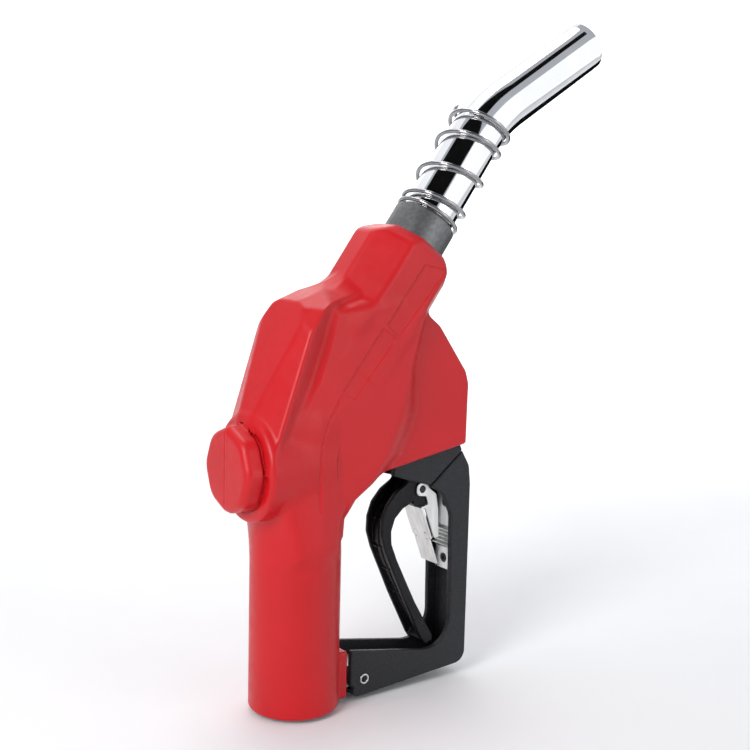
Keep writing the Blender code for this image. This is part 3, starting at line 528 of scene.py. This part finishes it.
SOCKET_RIM = 21.5
STRIP = [(69.0, 259.2), (43.6, 225.4), (51.6, 218.2), (85.4, 256.1)]
PANEL = [(41.2, 223.6), (50.4, 217.2), (22.6, 184.2), (14.2, 188.6)]
MOULD_LINE = [
    (14.2, 186.4), (9.0, 178.8), (4.3, 170.8), (1.4, 164.0), (-0.1, 158.2), (-1.2, 151.5), (-1.6, 145.6),
    (-1.5, 122.2),
]
CORE_REACH = [
    (114.0, 14.5), (125.0, 21.0), (133.0, 32.0), (148.0, 44.0), (172.0, 56.0), (200.0, 62.0), (228.0, 69.0),
    (240.0, 71.0),
]
CORE_FALL = [(114.0, 10.0), (133.0, 16.0), (148.0, 22.0), (172.0, 20.0), (200.0, 10.0), (230.0, 10.0)]
CORE_EDGE = [(-10.0, 5.0), (30.0, 4.0), (60.0, 3.2)]
WING_HALF = 16.5
CORE_STEP = 8.0
HANDLE_RADIUS = 26.5
POPPET_HEIGHT = 146.0
BOSS_FACE = -35.0
BOSS_RADIUS = 31.3
CAP_FACE = -47.0
CAP_REACH = 23.56
CAP_GROOVE = -35.6


def ease(t):
    t = np.clip(t, 0.0, 1.0)
    return t * t * (3.0 - 2.0 * t)


def from_table(value, table):
    """A length that follows a table of (value, length)."""
    return np.interp(value, *zip(*table))


def core_and_wing(p):
    """The two flat forms as one, thick at the core and stepping down to the wing over a soft foot."""
    x, z = p[0], p[2]
    flat = np.minimum(polygon(x, z, CORE_OUTLINE), polygon(x, z, WING_OUTLINE))
    reach = from_table(z, CORE_REACH)
    fall = from_table(z, CORE_FALL)
    thick = WING_HALF + CORE_STEP * ease((reach + fall - x) / fall)
    return round_max(flat, p[1] - thick, from_table(x, CORE_EDGE))


def socket_field(p):
    along, up, side = about_spout(p)
    side = np.abs(side)
    ring = SOCKET_RING + [(u, -s) for u, s in reversed(SOCKET_RING)]
    across = rim = None
    for (ua, sa), (ub, sb) in zip(ring, ring[1:] + ring[:1]):
        outward = np.array((sa - sb, ub - ua))
        outward /= np.linalg.norm(outward)
        reach = outward @ np.array((ua, sa))
        if reach < 0:
            outward, reach = -outward, -reach
        if outward[1] < -0.01:
            continue
        face = up * outward[0] + side * outward[1] - reach
        if outward[1] > 0.9:
            face = face + 1.6 * ease((112.0 - along) / 60.0)
        face = face + 1.6 * ease((84.0 - along) / 24.0)
        edge = (face + reach + along - SOCKET_TOP - SOCKET_RIM) / math.sqrt(2.0)
        across = face if across is None else blend_max(across, face, 1.6)
        rim = edge if rim is None else blend_max(rim, edge, 1.2)
    solid = blend_max(across, rim, 2.4)
    return np.maximum(blend_max(solid, along - SOCKET_TOP, 1.4), 48.0 - along)


def cover_outside(p):
    x, z = p[0], p[2]
    y = np.abs(p[1])
    q = [x, y, z]
    handle = np.hypot(x, y) - HANDLE_RADIUS + 5.0 * ease((z - 92.0) / 70.0)
    handle = blend_max(handle, z - 170.0, 8.0)
    handle = round_max(handle, 0.4 - z, 3.0)
    core = core_and_wing(q)
    bulge = x - 36.0
    for point, normal in BULGE_PLANES:
        bulge = blend_max(bulge, plane(q, point, normal), 3.0 if normal[0] > 0.2 else 0.9)
    up = z - POPPET_HEIGHT
    boss = np.hypot(y, up) - BOSS_RADIUS + (x - BOSS_FACE) * 5.5 / 45.0
    boss = round_max(boss, BOSS_FACE - x, 3.6)
    boss = np.maximum(boss, x - 10.0)
    cap_side = None
    for i in range(5):
        angle = math.radians(90.0 - 22.5 - 45.0 * i)
        face = y * math.cos(angle) + up * math.sin(angle) - CAP_REACH
        cap_side = face if cap_side is None else blend_max(cap_side, face, 3.8)
    cap = round_max(cap_side, CAP_FACE - x, 4.4)
    cap = np.maximum(cap, x + 29.0)
    cap = cap + 0.28 * ease(1.0 - y / 1.1)
    body = blend_min(core, bulge, 5.0)
    body = blend_min(body, handle, np.interp(x, [0.0, 22.0], [12.0, 5.0]))
    body = blend_min(body, boss, 3.0)
    body = blend_min(body, cap, 0.6)
    groove = np.maximum(np.abs(x - CAP_GROOVE) - 0.8, np.abs(cap_side + 0.3) - 0.9)
    body = blend_max(body, -groove, 0.4)
    saddle = ease((36.0 - x) / 16.0) * ease((z - 216.0) / 14.0)
    body = blend_min(body, socket_field(q), 3.5 + 7.0 * saddle)
    lug = box(q, (18.0, -12.5, 2.0), (30.0, 12.5, 31.0), 1.6)
    body = blend_min(body, lug, 1.6)
    return body


def cover_field(p):
    x, z = p[0], p[2]
    y = np.abs(p[1])
    q = [x, y, z]
    outside = cover_outside(q)
    hollow = outside + WALL
    sunk = np.clip(0.5 - polygon(x, z, STRIP) / 0.9, 0.0, 1.0) * 0.55
    sunk = np.maximum(sunk, np.clip(0.5 - polygon(x, z, PANEL) / 0.9, 0.0, 1.0) * 0.55)
    sunk = np.maximum(sunk, np.clip(1.0 - segments(x, z, MOULD_LINE) / 1.1, 0.0, 1.0) * 0.5)
    outside = outside + np.where(y > 15.0, sunk, 0.0)
    shell = np.maximum(outside, -hollow)
    shell = np.maximum(shell, 0.4 - z)
    along, up, side = about_spout(q)
    neck = COLLAR_RADIUS + 0.4 - np.hypot(up, side)
    shell = blend_max(shell, np.where(along > 100.0, neck, -9.0), 0.8)
    handle_room = np.maximum(np.hypot(x, y) - 23.5, z - 30.0)
    shell = np.maximum(shell, -handle_room)
    shell = np.maximum(shell, -prism(q, WING_ROOM, 13.5, 0.01))
    shell = np.maximum(shell, -box(q, (16.0, -9.5, -4.0), (34.0, 9.5, 28.0), 0.01))
    return shell


cover = surface("cover_skin", cover_field, (-48.0, -32.5, -0.8), (115.0, 32.5, 284.0), 0.94, RED)
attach(cover, "nozzle_body")
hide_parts("scuff_guard")


# ---------------------------------------------------------------- guard and bracket

GUARD_OUTLINE = arcs([
    (112.9, 143.4), (118.6, 134, 10), (120, 122, 10), (120, 7.4, 8), (37.5, 1.2, 1), (34.2, 2.6, 1),
    (34.2, 7.8), (32, 8.8, 1), (32, 30.8, 1), (86, 21.1, 20), (107, 18.5, 17), (105.4, 104, 14),
    (98.4, 118.2, 6), (88.9, 123.8),
])
GUARD_ROOM = arcs([
    (20, 5.3), (38, 5.3), (108, 10.7), (113.5, 11.2, 4), (113.5, 122, 8), (112, 133), (107, 148), (82, 148),
    (82, 60), (20, 60),
])
BRACKET_OUTLINE = arcs([
    (60, 133.4), (70.9, 129.6, 8), (88.4, 124.6), (112.4, 144.1), (110.3, 149), (110.3, 184, 4), (86.5, 219),
    (72, 219), (66, 190), (62.5, 152),
])
BRACKET_ROOM = arcs([
    (50, 100), (99, 100), (107.5, 138), (106.5, 150), (106.5, 183, 4), (83, 226), (50, 226),
])
RACK_SCREWS = (73.0, 109.0)


def guard_field(p):
    guard = prism(p, GUARD_OUTLINE, 13.0, 1.0)
    guard = blend_max(guard, -prism(p, GUARD_ROOM, 9.5, 0.01), 0.5)
    guard = blend_max(guard, -crosswise(p, GUARD_PIN, 3.45), 0.3)
    for z in RACK_SCREWS:
        hole = np.hypot(p[1], p[2] - z) - 1.8
        guard = np.maximum(guard, -np.maximum(hole, np.maximum(108.0 - p[0], p[0] - 116.8)))
    return guard


def bracket_field(p):
    bracket = prism(p, BRACKET_OUTLINE, 13.0, 0.9)
    bracket = blend_max(bracket, -prism(p, BRACKET_ROOM, 9.5, 0.01), 0.5)
    return np.maximum(bracket, -np.maximum(crosswise(p, (69.0, 200.0), 3.6), 11.3 - np.abs(p[1])))


guard = surface("guard_frame", guard_field, (31.0, -14.0, 0.4), (121.0, 14.0, 144.5), 0.7, GRAIN)
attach(guard, "nozzle_body")
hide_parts("hand_guard")
bracket = surface("guard_top", bracket_field, (59.0, -14.0, 123.5), (113.5, 14.0, 220.0), 0.7, GRAIN)
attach(bracket, "nozzle_body")
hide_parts("guard_bracket")

pin = lathe(
    "guard_roll_pin",
    rounded_profile([(3.2, 13.2, 0.4), (3.2, -13.2, 0.4), (2.1, -13.2, 0.4), (2.1, 13.2, 0.4)]),
    (GUARD_PIN[0], 0.0, GUARD_PIN[1]), (0, 1, 0), SHEET, 40,
)
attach(pin, "nozzle_body")
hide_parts("guard_pin")


# ---------------------------------------------------------------- lever

LEVER_OUTLINE = arcs([
    (86.5, 169, 2), (80.5, 150), (76.5, 136), (74, 127, 6), (65.3, 121.8, 4), (58.8, 114.5, 4),
    (55.6, 105.5, 6), (55.3, 96, 6), (58.7, 85.5, 6), (65.5, 71), (72.9, 55), (80.3, 40.7), (87.5, 26.5),
    (91, 21.8, 2), (97.5, 24, 2), (96.5, 28), (89.7, 38.8), (82.3, 51), (74.8, 65.6), (67.5, 80, 8),
    (63.2, 90.5, 6), (62.8, 98.3, 4), (65.3, 105.7, 4), (71.0, 111.2, 4), (79, 114.6, 6), (88, 114.8, 2),
    (91.2, 121, 2), (90.4, 130, 4), (90.4, 150, 4), (101.4, 158, 3), (101.4, 168, 5), (95, 172, 3),
])
LEVER_CHANNEL = arcs([
    (98.2, 182), (98.2, 158.5), (93, 151.5), (86, 151.5), (86, 128), (80, 126), (76, 119, 6),
    (70, 114.6, 6), (62.4, 108.3, 6), (59.2, 99, 4), (59.6, 90, 4), (64.2, 78.4, 6), (71.5, 63.8),
    (79.3, 49), (86.7, 36.2), (91, 29), (86, 22), (66, 20), (40, 60), (40, 130), (60, 182),
])
EAR_ROOM = [(75.6, 124), (74.5, 131), (92, 131), (104, 124), (104, 90), (90, 90), (84, 112), (78.3, 112)]
STOP_BLOCK = [(79.0, 113.2), (81.4, 116.6), (87.2, 117.0), (90.6, 113.4), (88.6, 110.4), (81.8, 110.6)]
CLIP_MOUTH = [(80.6, 128), (90, 128), (96, 120), (96, 104), (84, 104), (80.6, 116)]
LEVER_FLOOR = [
    (70.0, 114.6), (62.4, 108.3), (59.2, 99.0), (59.6, 90.0), (64.2, 78.4), (71.5, 63.8), (79.3, 49.0),
    (86.7, 36.2),
]
RIBS = [(58.9, 104.6, 38.0), (60.2, 87.4, -12.0), (67.2, 72.5, -27.0), (75.3, 56.6, -28.0)]


def lever_field(p):
    y = np.abs(p[1])
    lever = prism(p, LEVER_OUTLINE, 9.0, 1.3)
    channel = prism(p, LEVER_CHANNEL, 6.2, 0.6)
    lever = blend_max(lever, -channel, 0.7)
    spine = np.maximum(segments(p[0], p[2], LEVER_FLOOR) - 0.75, y - 0.45)
    lever = blend_min(lever, spine, 0.4)
    for x, z, tilt in RIBS:
        a = math.radians(tilt)
        out = (p[0] - x) * -math.cos(a) + (p[2] - z) * math.sin(a)
        run = (p[0] - x) * math.sin(a) + (p[2] - z) * math.cos(a)
        section = np.maximum(np.abs(run) - 0.45, np.abs(out) - 1.0)
        rib = round_max(section, np.maximum(y - 6.4, 1.4 - y), 0.25)
        lever = blend_min(lever, rib, 0.3)
    ears = round_max(polygon(p[0], p[2], EAR_ROOM), np.maximum(7.4 - y, y - 12.0), 0.01)
    lever = np.maximum(lever, -ears)
    lever = np.maximum(lever, -crosswise(p, (PIVOT[0], PIVOT[2]), 2.8))
    lever = np.maximum(lever, -crosswise(p, CLIP_PIVOT, 2.3))
    lever = np.maximum(lever, -prism(p, CLIP_MOUTH, 3.2, 0.01))
    return np.minimum(lever, prism(p, STOP_BLOCK, 7.5, 0.3))


lever = surface("lever_skin", lever_field, (54.0, -10.0, 20.0), (103.0, 10.0, 174.0), 0.5, BLACK)
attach(lever, "trigger")
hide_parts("lever")


# ---------------------------------------------------------------- clip, rack and their screws

CLIP_OUTLINE = arcs([
    (80.9, 118, 3.2), (81.2, 126, 4), (88.5, 126.3, 4), (91, 121.8, 2), (96.2, 117.8, 3), (98, 108.2),
    (99.2, 89.8), (94.3, 89.8), (100.3, 72.9), (98.9, 72.4), (84.2, 110.0), (86.2, 110.9), (90.0, 111.6, 0.8),
    (88.3, 117.0, 1.2),
])
CLIP_ROOM = [(85.7, 109.9), (102.6, 66), (108, 66), (108, 132), (76, 132), (76, 114), (83.9, 114.4)]


def clip_field(p):
    y = np.abs(p[1])
    clip = prism(p, CLIP_OUTLINE, 9.0, 0.25)
    clip = np.maximum(clip, -prism(p, CLIP_ROOM, 7.8, 0.01))
    clip = np.maximum(clip, -np.maximum(7.6 - y, p[2] - 89.4))
    behind = (p[0] - 84.2) * 0.931 + (p[2] - 110.0) * 0.364
    slit = round_max(np.abs(behind - 2.4) - 0.7, np.maximum(7.0 - y, p[2] - 109.6), 0.05)
    clip = np.maximum(clip, -slit)
    clip = np.maximum(clip, -crosswise(p, CLIP_PIVOT, 2.25))
    for z in (93.0, 88.6):
        x = 84.2 + (110.0 - z) * 0.391
        dot = np.hypot(y - 5.2, p[2] - z) - 0.45
        clip = np.maximum(clip, -np.maximum(dot, np.abs(p[0] - x) - 3.0))
    return clip


clip = surface("clip_sheet", clip_field, (80.0, -9.8, 71.6), (101.2, 9.8, 127.6), 0.36, SHEET)
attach(clip, "clip")
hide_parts("hold_open_clip")

RACK_BACK = 113.2
RACK_FACE = RACK_BACK - 2.7
RACK_TEETH = 5
RACK_PITCH = 2.5
RACK_TEETH_TOP = 93.5
RACK_OUTLINE = [(RACK_BACK, 66), (RACK_BACK, 117), (RACK_FACE, 117), (RACK_FACE, RACK_TEETH_TOP)]
for tooth in range(RACK_TEETH):
    top = RACK_TEETH_TOP - tooth * RACK_PITCH
    RACK_OUTLINE += [(RACK_BACK - 6.0, top - 0.7), (RACK_BACK - 6.0, top - 1.2), (RACK_BACK - 3.8, top - 2.2)]
RACK_OUTLINE += [(RACK_FACE, 80), (RACK_FACE, 66)]


def rack_field(p):
    rack = prism(p, RACK_OUTLINE, 8.0, 0.25)
    for z in RACK_SCREWS:
        across = np.hypot(p[1], p[2] - z)
        rack = np.maximum(rack, -(across - 1.8))
        rack = np.maximum(rack, -np.maximum(across - 3.0, p[0] - RACK_BACK + 1.1))
    return rack


rack = surface("rack_sheet", rack_field, (106.2, -8.8, 65.2), (114.0, 8.8, 117.8), 0.36, SHEET)
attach(rack, "nozzle_body")
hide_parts("hold_open_rack")


def screw_field(z):
    def field(p):
        across = np.hypot(p[1], p[2] - z)
        ends = np.maximum(RACK_BACK - 2.5 - p[0], p[0] - RACK_BACK + 1.3)
        head = round_max(across - 2.6, ends, 0.3)
        u, w = np.abs(p[1]), np.abs(p[2] - z)
        hexagon = np.maximum(u * 0.866 + w * 0.5, w) - 1.25
        head = np.maximum(head, -np.maximum(hexagon, p[0] - RACK_BACK + 1.7))
        shank = np.maximum(RACK_BACK - 1.7 - p[0], p[0] - RACK_BACK - 3.1)
        return np.minimum(head, np.maximum(across - 1.5, shank))
    return field


for number, z in enumerate(RACK_SCREWS, start=1):
    screw = surface(
        f"rack_socket_screw_{number}", screw_field(z), (110.2, -3.2, z - 3.2), (117.0, 3.2, z + 3.4), 0.22,
        DARK_STEEL,
    )
    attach(screw, "nozzle_body")
    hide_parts(f"rack_screw_{number}")

clip_pin = lathe(
    "clip_rivet",
    [
        (0.0, 9.2), (0.7, 9.2), (0.9, 8.9), (1.3, 8.9), (1.5, 9.2), (1.8, 9.2), (2.0, 9.0),
        (2.0, -9.0), (1.8, -9.2), (1.5, -9.2), (1.3, -8.9), (0.9, -8.9), (0.7, -9.2), (0.0, -9.2),
    ],
    (CLIP_PIVOT[0], 0.0, CLIP_PIVOT[1]), (0, 1, 0), DARK_STEEL, 32,
)
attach(clip_pin, "trigger")
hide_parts("clip_pivot_pin")


# ---------------------------------------------------------------- spout

def spout_frame(distance):
    """The middle of the spout and its direction, this far along from where the axis crosses X = 0."""
    across = -SPOUT_UP
    if distance <= SPOUT_BEND_START:
        return SPOUT_START + SPOUT_AXIS * distance, SPOUT_AXIS
    angle = min((distance - SPOUT_BEND_START) / SPOUT_BEND_RADIUS, SPOUT_BEND)
    direction = SPOUT_AXIS * math.cos(angle) + across * math.sin(angle)
    middle = SPOUT_START + SPOUT_AXIS * SPOUT_BEND_START
    middle = middle + (SPOUT_AXIS * math.sin(angle) + across * (1 - math.cos(angle))) * SPOUT_BEND_RADIUS
    beyond = distance - SPOUT_BEND_START - SPOUT_BEND * SPOUT_BEND_RADIUS
    return middle + direction * max(0.0, beyond), direction


SPOUT_END = SPOUT_BEND_START + SPOUT_BEND * SPOUT_BEND_RADIUS + SPOUT_STRAIGHT


def spout_sections():
    """(distance along, radius) of the tube's skin: up the outside, round the tip and back down the bore."""
    outside = [(118.8, SPOUT_RADIUS), (150.0, SPOUT_RADIUS)]
    outside += [(150.0 + 2.0 * i, SPOUT_RADIUS) for i in range(1, int((SPOUT_END - 153.0) / 2.0))]
    tip = []
    for i in range(9):
        angle = math.radians(90.0 - 22.5 * i)
        lip = SPOUT_WALL / 2
        tip.append((SPOUT_END - lip + lip * math.cos(angle), SPOUT_RADIUS - lip + lip * math.sin(angle)))
    inside = [(d, SPOUT_RADIUS - SPOUT_WALL) for d, _ in reversed(outside)]
    return outside + tip + inside


def make_spout():
    sides = 112
    points, faces = [], []
    sections = spout_sections()
    for distance, radius in sections:
        middle, direction = spout_frame(distance)
        up = np.cross(direction, (0.0, 1.0, 0.0))
        for i in range(sides):
            angle = 2 * math.pi * i / sides
            out = up * math.cos(angle) + np.array((0.0, 1.0, 0.0)) * math.sin(angle)
            points.append(tuple((middle + out * radius) * 0.001))
    for j in range(len(sections)):
        a, b = j * sides, (j + 1) % len(sections) * sides
        for i in range(sides):
            k = (i + 1) % sides
            faces.append((a + i, a + k, b + k, b + i))
    mesh = bpy.data.meshes.new("spout_skin")
    mesh.from_pydata(points, [], faces)
    return tidy(shown("spout_skin", mesh, CHROME))


spout = make_spout()
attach(spout, "nozzle_body")
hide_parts("spout_tube")

collar = lathe(
    "collar_skin",
    rounded_profile([
        (COLLAR_RADIUS - 1.1, 151.9, 0.3), (COLLAR_RADIUS, 150.9, 0.5), (COLLAR_RADIUS, 125.0, 0.2),
        (16.5, 125.0), (16.5, 151.9, 0.2),
    ]),
    SPOUT_START, SPOUT_AXIS, GREY, 96,
)
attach(collar, "nozzle_body")
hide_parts("spout_collar")

COIL_RISE = [
    (-0.6, 153.5), (0.2, 154.4), (1.0, 162.0), (2.0, 185.0), (3.0, 209.0), (4.0, 222.4), (4.7, 224.0),
]
COIL_WIRE = 1.25
COIL_STEPS = 44


def coil_height(turn):
    for (a, low), (b, high) in zip(COIL_RISE, COIL_RISE[1:]):
        if turn <= b:
            return low + (high - low) * (turn - a) / (b - a)
    return COIL_RISE[-1][1]


def make_coil():
    first, last = COIL_RISE[0][0], COIL_RISE[-1][0]
    count = round((last - first) * COIL_STEPS)
    curve = bpy.data.curves.new("spout_coil", "CURVE")
    curve.dimensions = "3D"
    curve.bevel_depth = COIL_WIRE * 0.001
    curve.bevel_resolution = 5
    curve.use_fill_caps = True
    spline = curve.splines.new("POLY")
    spline.points.add(count)
    for i in range(count + 1):
        turn = first + (last - first) * i / count
        about = [turn + shift for shift in (-0.25, -0.12, 0.0, 0.12, 0.25)]
        near = [coil_height(min(last, max(first, t))) for t in about]
        angle = 2 * math.pi * turn - math.pi / 2
        side = np.array((0.0, 1.0, 0.0))
        place = SPOUT_START + SPOUT_AXIS * (sum(near) / 5)
        place = place + (-SPOUT_UP * math.cos(angle) + side * math.sin(angle)) * COIL_RADIUS
        spline.points[i].co = (*(place * 0.001), 1.0)
        spline.points[i].radius = min(1.0, 0.45 + 0.3 * min(i, count - i))
    coil = bpy.data.objects.new("spout_coil", curve)
    bpy.context.scene.collection.objects.link(coil)
    graph = bpy.context.evaluated_depsgraph_get()
    mesh = bpy.data.meshes.new_from_object(coil.evaluated_get(graph))
    bpy.data.objects.remove(coil)
    mesh.materials.clear()
    return tidy(shown("spout_coil", mesh, COIL_CHROME_PAINTED_DARK))


coil = make_coil()
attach(coil, "nozzle_body")
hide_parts("spout_spring")


# ---------------------------------------------------------------- studio

CAMERA_PLACE = (-0.3773, -0.5933, 0.2960)
CAMERA_AZIMUTH = math.radians(36.0)
CAMERA_ELEVATION = math.radians(8.0)
CAMERA_ROLL = math.radians(1.4)
AWAY = Vector((math.sin(CAMERA_AZIMUTH), math.cos(CAMERA_AZIMUTH), 0.0))
SIDEWAYS = Vector((AWAY.y, -AWAY.x, 0.0))


def look_basis():
    """The camera's right, up and ahead."""
    ahead = AWAY * math.cos(CAMERA_ELEVATION) - Vector((0.0, 0.0, math.sin(CAMERA_ELEVATION)))
    up = SIDEWAYS.cross(ahead)
    right = SIDEWAYS * math.cos(CAMERA_ROLL) + up * math.sin(CAMERA_ROLL)
    return right, up * math.cos(CAMERA_ROLL) - SIDEWAYS * math.sin(CAMERA_ROLL), ahead


def make_camera():
    data = bpy.data.cameras.new("camera")
    data.lens = 60.0
    data.sensor_width = 36.0
    data.clip_end = 50.0
    camera = bpy.data.objects.new("camera", data)
    bpy.context.scene.collection.objects.link(camera)
    right, up, ahead = look_basis()
    turn = Matrix((right, up, -ahead)).transposed().to_4x4()
    camera.matrix_world = Matrix.Translation(CAMERA_PLACE) @ turn
    bpy.context.scene.camera = camera


def area_light(name, place, target, size, power, colour=(1.0, 1.0, 1.0)):
    data = bpy.data.lights.new(name, "AREA")
    data.shape = "RECTANGLE"
    data.size, data.size_y = size
    data.energy = power
    data.color = colour
    light = bpy.data.objects.new(name, data)
    bpy.context.scene.collection.objects.link(light)
    light.location = place
    light.rotation_euler = (Vector(target) - Vector(place)).to_track_quat("-Z", "Y").to_euler()
    return light


def pale_paper():
    s = Surface("pale_paper")
    s.colour(s.noise(3.0, 4.0), (0.86, 0.86, 0.86), (0.9, 0.9, 0.9))
    s.roughness(s.noise(20.0, 3.0), 0.75, 0.9)
    s.bump(s.noise(300.0, 3.0), 0.05, 0.0005)
    return s.set(IOR=1.3)


SWEEP_NEAR = 3.0
SWEEP_FAR = 1.4
SWEEP_RADIUS = 0.8
SWEEP_HEIGHT = 3.2
SWEEP_HALF = 3.5


def make_sweep():
    """Floor and wall in one curved sheet, behind the object as the camera sees it."""
    profile = [(-SWEEP_NEAR, 0.0), (SWEEP_FAR, 0.0)]
    for i in range(1, 13):
        angle = math.radians(7.5 * i)
        rise = SWEEP_RADIUS - SWEEP_RADIUS * math.cos(angle)
        profile.append((SWEEP_FAR + SWEEP_RADIUS * math.sin(angle), rise))
    profile.append((SWEEP_FAR + SWEEP_RADIUS, SWEEP_HEIGHT))
    points, faces = [], []
    for along, height in profile:
        for reach in (-SWEEP_HALF, SWEEP_HALF):
            points.append(AWAY * along + SIDEWAYS * reach + Vector((0.0, 0.0, height - 0.0015)))
    for i in range(len(profile) - 1):
        faces.append((2 * i, 2 * i + 1, 2 * i + 3, 2 * i + 2))
    mesh = bpy.data.meshes.new("sweep")
    mesh.from_pydata(points, [], faces)
    for face in mesh.polygons:
        face.use_smooth = True
    sweep = shown("sweep", mesh, pale_paper())


def softbox(name, place, target, size, power):
    """A light that only reflections see."""
    light = area_light(name, place, target, size, power)
    light.visible_camera = False
    light.visible_diffuse = False


# The dark stripe along the chrome: (distance along the spout, its two edges from -1 to 1 across the tube).
STRIPE = [
    (100.0, -0.55, 0.12), (205.0, -0.55, 0.1), (218.0, -0.5, -0.12), (247.0, -0.42, -0.26),
    (340.0, -0.42, -0.28),
]
STRIPE_STEPS = (205.0, 218.0, 232.0, 247.0, 340.0)
STRIPE_CARD_FACING = np.array((-0.1635, -0.4179, 0.8936))
STRIPE_CARD_PLACE = np.array((140.0, 0.0, 340.0)) + STRIPE_CARD_FACING * 900.0


def mirrored(distance, across):
    """Where the camera's line, turned back by the tube this far along and across, meets the card's plane."""
    middle, direction = spout_frame(distance)
    up = np.cross(direction, (0.0, 1.0, 0.0))
    near = np.array((0.0, -1.0, 0.0))
    eye = np.array(CAMERA_PLACE) * 1000.0
    sight = middle - eye
    angle = math.atan2(-(sight @ near), -(sight @ up)) + math.asin(across)
    normal = up * math.cos(angle) + near * math.sin(angle)
    point = middle + normal * SPOUT_RADIUS
    sight = point - eye
    onward = sight - 2.0 * (sight @ normal) * normal
    reach = (STRIPE_CARD_PLACE - point) @ STRIPE_CARD_FACING / (onward @ STRIPE_CARD_FACING)
    return tuple((point + onward * reach) * 0.001)


def stripe_card():
    """The corners of a card whose reflection is the stripe."""
    distances, upper, lower = zip(*STRIPE)
    corners = [mirrored(distances[0], a) for a in np.linspace(upper[0], lower[0], 5)]
    corners += [mirrored(d, np.interp(d, distances, lower)) for d in STRIPE_STEPS]
    return corners + [mirrored(d, np.interp(d, distances, upper)) for d in reversed(STRIPE_STEPS)]


def card(name, corners):
    """A black card that only reflections see."""
    felt = bpy.data.materials.get("black_felt")
    if not felt:
        s = Surface("black_felt")
        s.colour(s.noise(400.0, 3.0), (0.002, 0.002, 0.002), (0.006, 0.006, 0.006))
        s.roughness(s.noise(200.0, 3.0), 0.9, 1.0)
        felt = s.set(IOR=1.1)
    mesh = bpy.data.meshes.new(name)
    mesh.from_pydata(corners, [], [tuple(range(len(corners)))])
    flag = shown(name, mesh, felt)
    flag.visible_camera = False
    flag.visible_diffuse = False
    flag.visible_shadow = False


def make_world():
    world = bpy.data.worlds.new("studio")
    world.use_nodes = True
    world.node_tree.nodes["Background"].inputs["Color"].default_value = (0.9, 0.93, 1.0, 1.0)
    world.node_tree.nodes["Background"].inputs["Strength"].default_value = 0.5
    bpy.context.scene.world = world
    bpy.context.scene.view_settings.view_transform = "Standard"


make_camera()
make_world()
make_sweep()
card("card_front", stripe_card())
card("card_back", [(0.46, 0.32, 0.41), (0.60, 0.06, 0.33), (0.48, -0.06, 0.08), (0.37, 0.34, 0.22)])
softbox("softbox_front", (0.89, -0.84, 0.59), (0.15, 0.0, 0.35), (1.9, 1.1), 4.6)
softbox("softbox_above", (0.15, 0.95, 1.25), (0.15, 0.0, 0.35), (1.9, 1.2), 4.0)
area_light("key", (-1.1, -0.5, 0.8), (0.03, 0.0, 0.18), (0.5, 0.7), 12.0)
area_light("fill", (0.6, -1.3, 0.3), (0.05, 0.0, 0.18), (0.6, 1.0), 3.0)
area_light("top", (0.1, 0.3, 1.3), (0.05, 0.0, 0.2), (0.6, 0.6), 4.0)
area_light("backdrop_light", (0.75, 0.95, 1.5), (1.25, 1.75, 0.7), (1.6, 0.6), 30.0)
